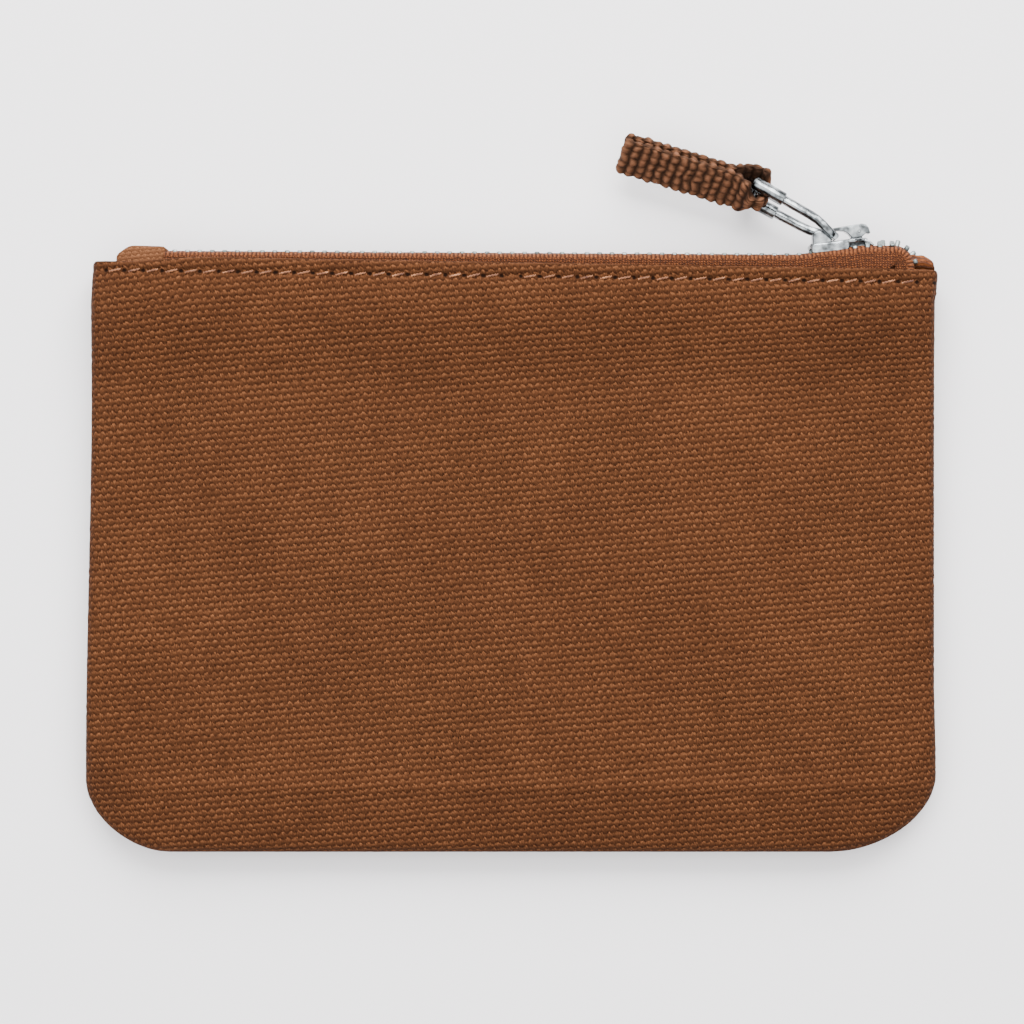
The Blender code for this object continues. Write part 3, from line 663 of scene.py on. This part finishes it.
def zip_path(s):
    """Place and outward direction at a distance along the zip, s being X up to the curl."""
    if s <= CURL_X:
        slope = (chain_y(s + 0.1 * MM) - chain_y(s - 0.1 * MM)) / (0.2 * MM)
        return Vector((s, chain_y(s), ZIP_Z)), math.pi / 2 + math.atan(slope)
    turn = (s - CURL_X) / CURL_RADIUS
    centre = Vector((CURL_X, chain_y(CURL_X) - CURL_RADIUS, ZIP_Z))
    if turn <= math.pi / 2:
        angle = math.pi / 2 - turn
        return centre + CURL_RADIUS * Vector((math.cos(angle), math.sin(angle), 0.0)), angle
    tail = s - CURL_END
    return centre + Vector((CURL_RADIUS, -tail, 0.0)), 0.0


def make_tape(name, side, low, high, body, nodes):
    """Tape with a raised cord at the teeth, a level strip, a rolled shoulder and a leg."""
    outer = [(1.15, -0.25), (1.15, 0.2), (1.35, 0.5), (1.8, 0.62), (2.25, 0.5), (2.5, 0.3), (2.8, 0.32)]
    outer += [(3.25 + 0.8 * math.sin(math.radians(d)), -0.48 + 0.8 * math.cos(math.radians(d)))
              for d in range(0, 91, 15)]
    outer += [(4.05, -0.48 - i / 13) for i in range(1, 14)]
    inner = [(across - 0.35, out) if across >= 4.0 else (min(across, 3.7), out - 0.38)
             for across, out in outer]
    leg_top = len(outer) - 13
    ring = outer + inner[::-1]
    ring.append(ring[0])
    stations = steps([(low, 0), (high, 0.45 * MM)])
    points = []
    for number, (across, out) in enumerate(ring):
        row = number if number < len(outer) else 2 * len(outer) - 1 - number
        line = []
        for s in stations:
            place, angle = zip_path(s)
            spread = 0.55 * MM * smooth(52 * MM, 60 * MM, s) * (1.0 if across < 3 else 0.0)
            depth = out
            if row >= leg_top:
                share = (row - leg_top + 1) / 13
                depth = -0.48 - share * (2.36 + 8.24 * (1.0 - smooth(60 * MM, CURL_X, s)))
            crimp = 0.03 * MM * noise.noise(Vector((s / (0.8 * MM), across, side * 3.0)))
            reach = Vector((math.cos(angle), math.sin(angle), 0.0)) * (depth * MM + crimp)
            line.append(place + reach + Z_UP * side * (across * MM + spread))
        points.append(line)
    lengths = [[0.0] * len(stations)]
    for below, above in zip(points, points[1:]):
        lengths.append([length + (b - a).length for length, a, b in zip(lengths[-1], below, above)])
    bm = mapped_grid(len(stations), len(ring), lambda c, r: points[r][c],
                     {"cloth": lambda c, r: (stations[c], lengths[r][c])})
    bmesh.ops.remove_doubles(bm, verts=bm.verts, dist=0.002 * MM)
    bmesh.ops.recalc_face_normals(bm, faces=bm.faces)
    return finish_piece(name, bm, zip_tape, body, nodes)


def add_tooth(bm, place, angle, side, lean, length, width=1.0):
    """A stamped tooth: a block that straddles the cord, narrowing to a rounded nose."""
    block = bmesh.ops.create_cube(bm, size=1.0)["verts"]
    bmesh.ops.scale(bm, vec=(width * MM, 1.7 * MM, length), verts=block)
    nose = [v for v in block if v.co.z < 0]
    bmesh.ops.scale(bm, vec=(0.72, 0.72, 1.0), verts=nose)
    edges = {e for v in block for e in v.link_edges}
    bevelled = bmesh.ops.bevel(bm, geom=list(edges), offset=0.28 * MM, offset_type='OFFSET', segments=3,
                               profile=0.5, affect='EDGES', material=-1, clamp_overlap=True)["verts"]
    verts = set(bevelled) | {v for v in block if v.is_valid}
    turn = Matrix.Rotation(angle - math.pi / 2, 4, 'Z') @ Matrix.Rotation(-side * lean, 4, 'X')
    flip = Matrix.Diagonal((1.0, 1.0, float(side), 1.0))
    bmesh.ops.transform(bm, matrix=Matrix.Translation(place) @ turn @ flip, verts=list(verts))


def make_teeth(name, side, low, high, body, nodes):
    """The closed row, and past the slider the free teeth that fan out round the curl."""
    bm = bmesh.new()
    shift = 0.0 if side > 0 else TOOTH_PITCH / 2
    x = teeth_low.x + 0.6 * MM + shift
    while x < FREE_START_X - 0.6 * TOOTH_PITCH:
        if low <= x < high:
            place, angle = zip_path(x)
            parted = smooth(PARTING_X, FREE_START_X, x)
            lean = math.radians(8.0) * parted
            add_tooth(bm, place + Z_UP * side * (0.75 + 1.6 * parted) * MM, angle, side, lean, 3.1 * MM, 0.95)
        x += TOOTH_PITCH
    if high > FREE_START_X:
        for index, degrees in enumerate((8, 28, 48, 62, 70, 74)):
            place, angle = zip_path(FREE_START_X + index * TOOTH_PITCH + shift)
            lean = math.radians(degrees)
            out = Vector((math.cos(angle), math.sin(angle), 0.0))
            lift = (-0.3 if side > 0 else 0.3) + 0.5 * math.sin(lean)
            root = place + Z_UP * side * (2.5 - 0.12 * index) * MM + out * lift * MM
            add_tooth(bm, root, angle, side, lean, 2.3 * MM, 0.9)
    bmesh.ops.recalc_face_normals(bm, faces=bm.faces)
    piece = finish_piece(name, bm, tooth_metal, body, nodes)
    piece.data.set_sharp_from_angle(angle=math.radians(35))
    return piece


def free_nodes(label):
    return [f"{label}_end_tooth_{i}" for i in range(1, 7)]


def make_zip():
    tape_low = TAB_RIGHT - 0.5 * MM
    tape_high = CURL_END + 2.5 * MM
    make_tape("back_tape_cloth", -1, tape_low, tape_high, "back_half", ["back_tape"])
    make_teeth("back_tooth_row", -1, -1.0, 1.0, "back_half", ["back_teeth", *free_nodes("back")])
    for side, label in ((-1, "left"), (1, "right")):
        low, high = (tape_low, 0.0) if side < 0 else (0.0, tape_high)
        nodes = ["front_tape"] if side < 0 else []
        bend_open(make_tape(f"front_tape_{label}", 1, low, high, None, nodes))
        nodes = ["front_teeth"] if side < 0 else free_nodes("front")
        bend_open(make_teeth(f"front_teeth_{label}", 1, low, high if side > 0 else 0.0, None, nodes))


def make_stops():
    """Small clips crimped on the tape ends."""
    for side, label in ((1, "front"), (-1, "back")):
        place, angle = zip_path(CURL_END + 1.4 * MM)
        place += Vector((0.7 * MM, 0.0, side * 2.6 * MM))
        bm = bmesh.new()
        add_tooth(bm, place, angle, side, 1.2, 1.9 * MM)
        bmesh.ops.recalc_face_normals(bm, faces=bm.faces)
        body = None if side > 0 else "back_half"
        piece = finish_piece(f"{label}_stop_clip", bm, tooth_metal, body, [f"{label}_top_stop"])
        piece.data.set_sharp_from_angle(angle=math.radians(35))
        if side > 0:
            bend_open(piece)


def make_tape_end():
    """The back tape's cut end, folded over and standing out past the curl."""
    low_x, low_y = 66.2 * MM, 49.0 * MM
    columns, rows = 30, 22

    def place(column, row):
        t, v = column / (columns - 1), row / (rows - 1)
        x = low_x + 6.1 * MM * t
        round_off = math.sqrt(max(0.0, 1.0 - (max(0.0, t - 0.45) / 0.55) ** 2.4))
        height = 0.35 * MM + 2.35 * MM * round_off
        ribs = 0.12 * MM * math.cos(v * 4 * 2 * math.pi)
        y = low_y + v * height + 0.05 * MM * math.sin(x / (0.3 * MM))
        z = ZIP_Z + 1.1 * MM + 1.1 * MM * math.sin(math.pi * v) * round_off + ribs
        return Vector((x, y, z))

    bm = mapped_grid(columns, rows, place,
                     {"cloth": lambda c, r: (r / (rows - 1) * 2.6 * MM, c / (columns - 1) * 3.6 * MM)})
    bmesh.ops.solidify(bm, geom=bm.faces[:], thickness=1.2 * MM)
    finish_piece("back_tape_end", bm, zip_tape, "back_half", [])


def make_end_tab():
    """Canvas tab folded over the start of the zip: soft corners, its left shoulder sloping down."""
    bm = bmesh.new()
    block = bmesh.ops.create_cube(bm, size=1.0)["verts"]
    low, high = tab_low, tab_high + Vector((0.0, 0.2 * MM, 0.0))
    size, centre = high - low, (high + low) / 2
    grown = Matrix.Translation(centre) @ Matrix.Diagonal((*size, 1.0))
    bmesh.ops.transform(bm, matrix=grown, verts=block)
    bmesh.ops.subdivide_edges(bm, edges=bm.edges[:], cuts=13, use_grid_fill=True)
    for vert in bm.verts:
        shoulder = smooth(low.x + 2.6 * MM, low.x - 0.4 * MM, vert.co.x)
        rise = smooth(low.y + 2 * MM, high.y, vert.co.y)
        vert.co.y -= (1.7 * shoulder + 0.25 * (vert.co.x - low.x) / size.x) * MM * rise
        vert.co.x -= 0.25 * MM * rise * smooth(high.x - 1.5 * MM, high.x, vert.co.x)
        bulge = math.sin(math.pi * (vert.co.x - low.x) / size.x)
        vert.co.z += (vert.co.z - ZIP_Z) / (size.z / 2) * 0.15 * MM * bulge
    for _ in range(2):
        bmesh.ops.smooth_vert(bm, verts=bm.verts, factor=0.5,
                              use_axis_x=True, use_axis_y=True, use_axis_z=True)
    layer = bm.loops.layers.uv.new("cloth")
    for face in bm.faces:
        for loop in face.loops:
            co = loop.vert.co
            flat = co.y if abs(face.normal.y) < 0.7 else co.z
            loop[layer].uv = (co.x if abs(face.normal.x) < 0.7 else co.z, flat)
    piece = finish_piece("end_tab_canvas", bm, tab_canvas, "back_half", ["end_tab"])
    soften = piece.modifiers.new("soften", 'SUBSURF')
    soften.levels = soften.render_levels = 1


# ---------------------------------------------------------------- slider, pull and webbing

def slider_matrix():
    """From the slider's own axes, X along it and Y out of the zip, to the pouch's."""
    return Matrix.Translation(SLIDER_CENTRE) @ Matrix.Rotation(SLIDER_TILT, 4, 'Z')


def cut_from_plate(outline, low_z, high_z, bevel, to_world):
    """A plate of the given side outline (points in its own X and Y), bevelled all round."""
    bm = bmesh.new()
    face = bm.faces.new([bm.verts.new((x * MM, y * MM, low_z * MM)) for x, y in outline])
    grown = bmesh.ops.extrude_face_region(bm, geom=[face])["geom"]
    top = [item for item in grown if isinstance(item, bmesh.types.BMVert)]
    bmesh.ops.translate(bm, verts=top, vec=(0.0, 0.0, (high_z - low_z) * MM))
    bmesh.ops.recalc_face_normals(bm, faces=bm.faces)
    bmesh.ops.bevel(bm, geom=bm.edges[:], offset=bevel * MM, offset_type='OFFSET', segments=3, profile=0.5,
                    affect='EDGES', material=-1, clamp_overlap=True)
    bmesh.ops.transform(bm, matrix=to_world, verts=bm.verts)
    return bm


def arc(centre_x, centre_y, radius, start, end, count):
    """Points round a centre, from one angle in degrees to another."""
    angles = [math.radians(start + (end - start) * i / count) for i in range(count + 1)]
    return [(centre_x + radius * math.cos(a), centre_y + radius * math.sin(a)) for a in angles]


def merge_meshes(parts):
    """Several bmeshes as one."""
    whole = bmesh.new()
    for part in parts:
        mesh = bpy.data.meshes.new("part")
        part.to_mesh(mesh)
        part.free()
        whole.from_mesh(mesh)
        bpy.data.meshes.remove(mesh)
    return whole


# Outlines of the slider's parts in its own X and Y, in millimetres
UPPER_WALL = [(-4.9, 0.3), (-4.3, 0.12), (1.2, 0.05), (1.5, 0.5), (1.6, 1.5), (1.2, 1.85), (-4.5, 1.9),
              (-4.9, 1.5)]
LOWER_WALL = [(-5.1, -1.9), (2.2, -1.9), (2.4, -1.3), (1.9, -0.6), (-5.1, -0.5)]
WEDGE = [(1.5, -1.4), (4.5, -1.4), (4.5, 1.4), (1.5, 1.4)]
PULL_LUG = [(-4.5, 1.6), (-1.0, 1.6), (-1.2, 2.4), (-1.7, 3.5), (-2.3, 4.1), (-3.0, 4.28), (-3.8, 4.15),
            (-4.35, 3.7)]
BACK_LUG = [(1.9, 1.6), (4.3, 1.6), (4.1, 2.6), (2.6, 3.0), (2.1, 2.4)]
TONGUE = [(4.2, 1.3), (4.3, 1.75), (5.2, 1.35), (5.9, 0.55), (5.6, 0.35), (4.9, 1.0)]
COVER = [(-1.5, 3.95), (-1.4, 4.2), (-0.1, 4.3), (4.3, 4.45), (4.95, 4.25), (5.4, 3.6), (5.55, 2.65),
         (5.2, 2.6), (4.95, 2.85), (4.3, 2.35), (3.4, 2.08), (2.6, 2.02), (2.2, 2.4), (1.8, 3.0),
         (1.2, 3.5), (0.5, 3.68)]
COVER_HALF = 1.1


def make_slider():
    """Cast body: two shield-shaped plates, their walls and the wedge between the tapes."""
    world = slider_matrix()
    to_plan = world @ Matrix.Rotation(math.radians(-90), 4, 'X')

    def plan_plate(y_low, y_high, bevel):
        # Shield outline seen from above the plate: narrow tail, round shoulders at the nose
        outline = [(-5.1, -2.5), (-4.7, -2.9), (0.5, -3.3), (2.6, -3.2)] + arc(2.0, 0.0, 3.1, -70, 70, 10)
        outline += [(2.6, 3.2), (0.5, 3.3), (-4.7, 2.9), (-5.1, 2.5)]
        return cut_from_plate(outline, y_low, y_high, bevel, to_plan)

    parts = [plan_plate(1.25, 1.95, 0.3), plan_plate(-2.05, -1.25, 0.28)]
    for side in (-1, 1):
        near, far = sorted((side * 2.6, side * 3.3))
        parts.append(cut_from_plate(UPPER_WALL, near, far, 0.26, world))
        parts.append(cut_from_plate(LOWER_WALL, near, far, 0.16, world))
    parts.append(cut_from_plate(WEDGE, -0.8, 0.8, 0.2, world))
    # Lugs that hold the cover: a tall rounded one at the pull's side, a low one behind it
    for outline, half in ((PULL_LUG, 1.45), (BACK_LUG, 0.8)):
        parts.append(cut_from_plate(outline, -half, half, 0.42, world))
    parts.append(cut_from_plate(TONGUE, -2.2, 2.2, 0.12, world))
    body = finish_piece("slider_metal", merge_meshes(parts), nickel, "slider", ["slider_body"])
    body.data.set_sharp_from_angle(angle=math.radians(40))


def make_cover():
    """The stamped cover over the locking spring, with a raised dot on each cheek."""
    world = slider_matrix()
    plate = cut_from_plate(COVER, -COVER_HALF, COVER_HALF, 0.3, world)
    for side in (-1, 1):
        cheek = Matrix.Translation(Vector((3.7, 3.2, side * (COVER_HALF + 0.03))) * MM)
        outwards = Matrix.Diagonal((1.0, 1.0, float(side), 1.0))
        dimple = bmesh.new()
        bmesh.ops.create_cone(dimple, cap_ends=True, segments=14, radius1=0.34 * MM, radius2=0.2 * MM,
                              depth=0.16 * MM, matrix=world @ cheek @ outwards)
        bmesh.ops.recalc_face_normals(dimple, faces=dimple.faces)
        plate = merge_meshes([plate, dimple])
    crown = finish_piece("slider_cover_metal", plate, nickel, "slider", ["slider_crown"])
    crown.data.set_sharp_from_angle(angle=math.radians(40))


PULL_ANGLE = math.radians(151.3)
PULL_ROLL = math.radians(32.0)
PULL_LENGTH = 16.65 * MM
ARM_SPREAD = (3.6 * MM, 4.7 * MM)
ARM_WIDTH = 1.25 * MM
ARM_DEPTH = 1.5 * MM
BARREL_LENGTH = 6.0 * MM
BARREL_WIDTH = 2.15 * MM
INNER_BAR = 1.15 * MM
OUTER_BAR = 1.3 * MM
OUTER_BAR_AT = PULL_LENGTH - 0.95 * MM


def pull_axes(along):
    """The pull's length, width and upward directions, rolled once it is out of the window."""
    roll = PULL_ROLL * smooth(0.0, 5.0 * MM, along)
    length = Vector((math.cos(PULL_ANGLE), math.sin(PULL_ANGLE), 0.0))
    side = Vector((math.sin(PULL_ANGLE), -math.cos(PULL_ANGLE), 0.0))
    across = math.sin(roll) * side + math.cos(roll) * Z_UP
    return length, across, across.cross(length)


def bar_through(stations, width, depth, corner):
    """A bar of rounded rectangular section through (point, across, up, scale) stations."""
    bm = bmesh.new()
    rings = []
    count = 16
    for point, across, up, scale in stations:
        ring = []
        for i in range(count):
            angle = 2 * math.pi * (i + 0.5) / count
            c, s = math.cos(angle), math.sin(angle)
            w = math.copysign(abs(c) ** corner, c) * width / 2 * scale
            d = math.copysign(abs(s) ** corner, s) * depth / 2 * scale
            ring.append(bm.verts.new(point + across * w + up * d))
        for a, b in zip(ring, ring[1:] + ring[:1]):
            bm.edges.new((a, b))
        rings.append(ring)
    for first, second in zip(rings, rings[1:]):
        pair = set(first) | set(second)
        edges = [e for e in bm.edges if e.verts[0] in pair and e.verts[1] in pair
                 and (e.verts[0] in set(first)) == (e.verts[1] in set(first))]
        bmesh.ops.bridge_loops(bm, edges=edges)
    bm.faces.new(rings[0])
    bm.faces.new(rings[-1])
    bmesh.ops.recalc_face_normals(bm, faces=bm.faces)
    return bm


def pull_place(along, across_share):
    """A point of the pull: 1 and -1 are its two arms, which spread apart along it."""
    length, across, _ = pull_axes(along)
    spread = ARM_SPREAD[0] + (ARM_SPREAD[1] - ARM_SPREAD[0]) * min(1.0, along / OUTER_BAR_AT)
    return PIVOT + length * along + across * across_share * spread / 2


def make_pull():
    """Cast pull: two arms from the bar in the slider's window, with barrels round the outer bar."""
    parts = []
    for side in (-1, 1):
        stations = []
        # The arm starts as a hook out of the window, then runs straight
        for along in [-0.35, -0.1, 0.4, 1.0, 1.8, 2.8, 4.0, 5.5, 8.0, 12.0]:
            length, across, up = pull_axes(along * MM)
            share = side * (0.55 + 0.45 * smooth(-0.4, 0.9, along))
            scale = 0.8 + 0.2 * smooth(-0.3, 1.5, along)
            stations.append((pull_place(along * MM, share), across, up, scale))
        parts.append(bar_through(stations, ARM_WIDTH, ARM_DEPTH, 0.62))
        ends = [(PULL_LENGTH - BARREL_LENGTH, 0.86), (PULL_LENGTH - BARREL_LENGTH + 0.15 * MM, 1.0),
                (PULL_LENGTH - 0.3 * MM, 1.0), (PULL_LENGTH, 0.78)]
        stations = []
        for along, scale in ends:
            length, across, up = pull_axes(along)
            stations.append((pull_place(along, side), across, up, scale))
        parts.append(bar_through(stations, BARREL_WIDTH, BARREL_WIDTH, 0.72))
    for along, size in ((0.0, INNER_BAR), (OUTER_BAR_AT, OUTER_BAR)):
        length, across, up = pull_axes(along)
        stations = [(pull_place(along, share), length, up, 1.0) for share in (-1.0, 1.0)]
        parts.append(bar_through(stations, size, size, 1.0))
    piece = finish_piece("pull_metal", merge_meshes(parts), nickel, "pull", ["pull_frame"])
    piece.data.set_sharp_from_angle(angle=math.radians(38))


WEBBING_ANGLE = math.radians(163.1)
WEBBING_ROLL = math.radians(46.0)
WEBBING_LENGTH = 24.0 * MM
WEBBING_WIDTH = 7.4 * MM
WEBBING_PINCHED = 2.6 * MM
WEBBING_THICKNESS = 1.35 * MM
WEBBING_STEP = 0.14 * MM
RIB_PITCH = 1.64 * MM
CORDS_PER_SIDE = 2.5


def webbing_path():
    """Middle line of the loop in its own (along, up) plane, closed: open round the bar, then flat."""
    bight, flat = 1.9 * MM, 0.80 * MM
    open_half = {1: 2.75 * MM, -1: 2.2 * MM}
    closes = {1: (1.0 * MM, 5.2 * MM), -1: (0.2 * MM, 3.8 * MM)}
    end = WEBBING_LENGTH - WEBBING_THICKNESS / 2 - flat
    raw = []
    for i in range(1, 32):
        angle = math.pi * i / 32
        side = 1 if math.cos(angle) > 0 else -1
        raw.append((-bight * math.sin(angle) ** 0.75, side * open_half[side] * abs(math.cos(angle)) ** 0.75))
    straight = [end * i / 80 for i in range(81)]

    def height_at(along, side):
        return side * (open_half[side] + (flat - open_half[side]) * smooth(*closes[side], along))

    raw += [(a, height_at(a, -1)) for a in straight]
    raw += [(end + flat * math.sin(math.pi * i / 8), -flat * math.cos(math.pi * i / 8)) for i in range(1, 8)]
    raw += [(a, height_at(a, 1)) for a in reversed(straight)]
    return [Vector((a, u)) for a, u in raw]


def even_points(points, spacing):
    """The closed line again, with points at an even spacing."""
    ring = points + [points[0]]
    lengths = [0.0]
    for a, b in zip(ring, ring[1:]):
        lengths.append(lengths[-1] + (b - a).length)
    count = round(lengths[-1] / spacing)
    made, at = [], 0
    for i in range(count):
        want = lengths[-1] * i / count
        while lengths[at + 1] < want:
            at += 1
        share = (want - lengths[at]) / max(1e-12, lengths[at + 1] - lengths[at])
        made.append(ring[at].lerp(ring[at + 1], share))
    return made, lengths[-1]


def make_webbing():
    """Ribbed webbing folded round the pull's outer bar: rows of thick round cords."""
    along_axis = Vector((math.cos(WEBBING_ANGLE), math.sin(WEBBING_ANGLE), 0.0))
    up_axis = Vector((math.sin(WEBBING_ANGLE), -math.cos(WEBBING_ANGLE), 0.0))
    line, total = even_points(webbing_path(), WEBBING_STEP)
    ribs = 2 * round(total / RIB_PITCH / 2)
    around = 113
    count = len(line)
    relief = {}

    def place(column, row):
        at = line[column % count]
        tangent = (line[(column + 1) % count] - line[column % count - 1]).normalized()
        normal = Vector((tangent.y, -tangent.x))
        # Full width over and under the barrels, pinched where it passes between them
        pinch = smooth(1.4 * MM, 0.3 * MM, at.x) * (smooth(2.3 * MM, 1.2 * MM, at.y) if at.y > 0.0 else 1.0)
        width = WEBBING_WIDTH + (WEBBING_PINCHED - WEBBING_WIDTH) * pinch
        roll = PULL_ROLL + (WEBBING_ROLL - PULL_ROLL) * smooth(0.0, 5.0 * MM, at.x)
        rolled_up = math.cos(roll) * up_axis - math.sin(roll) * Z_UP
        across = math.sin(roll) * up_axis + math.cos(roll) * Z_UP
        # Once round the section: out along one face, back along the other
        t = 4.0 * row / (around - 1) - 1.0
        face = 1.0 if t <= 1.0 else -1.0
        t = t if t <= 1.0 else 2.0 - t
        w = t * (1.5 - 0.5 * t * t)
        n = face * (1.0 - abs(w) ** 5) ** 0.2 if abs(w) < 1.0 else 0.0
        wander = 0.26 * noise.noise(Vector((column * 0.04, w * 2.2, 5.0 * n)))
        phase = column / count * ribs + wander + 0.10 * w
        rib = abs(math.sin(math.pi * phase)) ** 0.8
        lift = 0.25 * (math.floor(phase) % 2)
        cord = abs(math.cos(math.pi * (w * CORDS_PER_SIDE + lift + wander))) ** 0.7
        rough = noise.noise(Vector((phase * 1.9, w * 3.4, n)))
        proud = rib * (0.40 + 0.60 * cord) + 0.45 * rough * (0.3 + 0.7 * rib)
        # Painted shade: the inside of the open loop sees little light, so its colour is darkened there
        inside = smooth(0.2, -0.5, n) * smooth(5.5 * MM, 3.0 * MM, at.x)
        relief[(column, row)] = min(1.0, max(0.0, proud * (1.0 - 0.8 * inside)))
        thick = WEBBING_THICKNESS / 2 - 0.36 * MM + 0.50 * MM * proud
        half = width / 2 - 0.26 * MM + 0.38 * MM * proud
        spot = at + normal * (n * thick)
        return CROSSBAR + along_axis * spot.x + rolled_up * spot.y + across * (w * half)

    def uv(column, row):
        return column * WEBBING_STEP, row / (around - 1) * 16 * MM

    bm = mapped_grid(count + 1, around, place, {"cloth": uv})
    layer = bm.verts.layers.float.new("relief")
    for number, vert in enumerate(bm.verts):
        vert[layer] = relief[(number % (count + 1), number // (count + 1))]
    bmesh.ops.remove_doubles(bm, verts=bm.verts, dist=0.002 * MM)
    bmesh.ops.recalc_face_normals(bm, faces=bm.faces)
    finish_piece("pull_webbing_loop", bm, webbing, "pull_tab", ["pull_webbing"])


# ---------------------------------------------------------------- stage

# The camera looks straight down at this point, on the level where the field is this wide
VIEW_CENTRE = Vector((0.1, 7.8, 9.5)) * MM
FIELD_WIDTH = 174.3 * MM


def make_stage():
    """Floor, surrounding light, two lamps and the camera."""
    bm = bmesh.new()
    bmesh.ops.create_grid(bm, x_segments=1, y_segments=1, size=2.0)
    mesh = bpy.data.meshes.new("floor")
    bm.to_mesh(mesh)
    bm.free()
    floor = bpy.data.objects.new("floor", mesh)
    floor.data.materials.append(board_material())
    bpy.context.scene.collection.objects.link(floor)

    world = bpy.data.worlds.new("studio")
    bpy.context.scene.world = world
    world.use_nodes = True
    tree = world.node_tree
    background = tree.nodes["Background"]
    height = add(tree, "SeparateXYZ", [add(tree, "TexCoord", out="Generated")], out="Z")
    # Pale at the horizon, as a backdrop; a dark band above it draws the metal's edges; bright overhead
    sky = add(tree, "ValToRGB", [height], stops=[
        (0.0, "C8C8CA"), (0.13, "C8C8CA"), (0.20, "141517"), (0.42, "26282A"),
        (0.60, "8E9092"), (0.78, "E8E8EA"), (1.0, "FFFFFF")])
    tree.links.new(sky, background.inputs["Color"])
    background.inputs["Strength"].default_value = 3.4

    def lamp(name, place, aim, size, power):
        data = bpy.data.lights.new(name, 'AREA')
        data.shape = 'RECTANGLE'
        data.size, data.size_y = size
        data.energy = power
        made = bpy.data.objects.new(name, data)
        bpy.context.scene.collection.objects.link(made)
        made.location = place
        made.rotation_euler = (Vector(aim) - Vector(place)).to_track_quat('-Z', 'Y').to_euler()

    lamp("key_softbox", (0.05, 0.62, 0.52), (0.0, 0.0, 0.0), (0.9, 0.6), 20.0)
    lamp("fill_softbox", (-0.5, -0.2, 0.6), (0.0, 0.0, 0.0), (0.5, 0.5), 1.6)

    camera = bpy.data.cameras.new("camera")
    camera.lens = 120.0
    camera.sensor_width = 36.0
    camera.clip_end = 10.0
    distance = FIELD_WIDTH * camera.lens / camera.sensor_width
    made = bpy.data.objects.new("camera", camera)
    made.location = VIEW_CENTRE + distance * Z_UP
    bpy.context.scene.collection.objects.link(made)
    bpy.context.scene.camera = made


def dress_hidden_nodes():
    """CAD nodes that stay: only their finish changes."""
    for name, look in (("seam_allowance", plain_canvas), ("lock_spring", nickel)):
        node = frame["nodes"][name]
        node.data.materials.clear()
        node.data.materials.append(look)


make_stage()
make_panels()
make_sewing()
make_zip()
make_stops()
make_tape_end()
make_end_tab()
make_slider()
make_cover()
make_pull()
make_webbing()
dress_hidden_nodes()
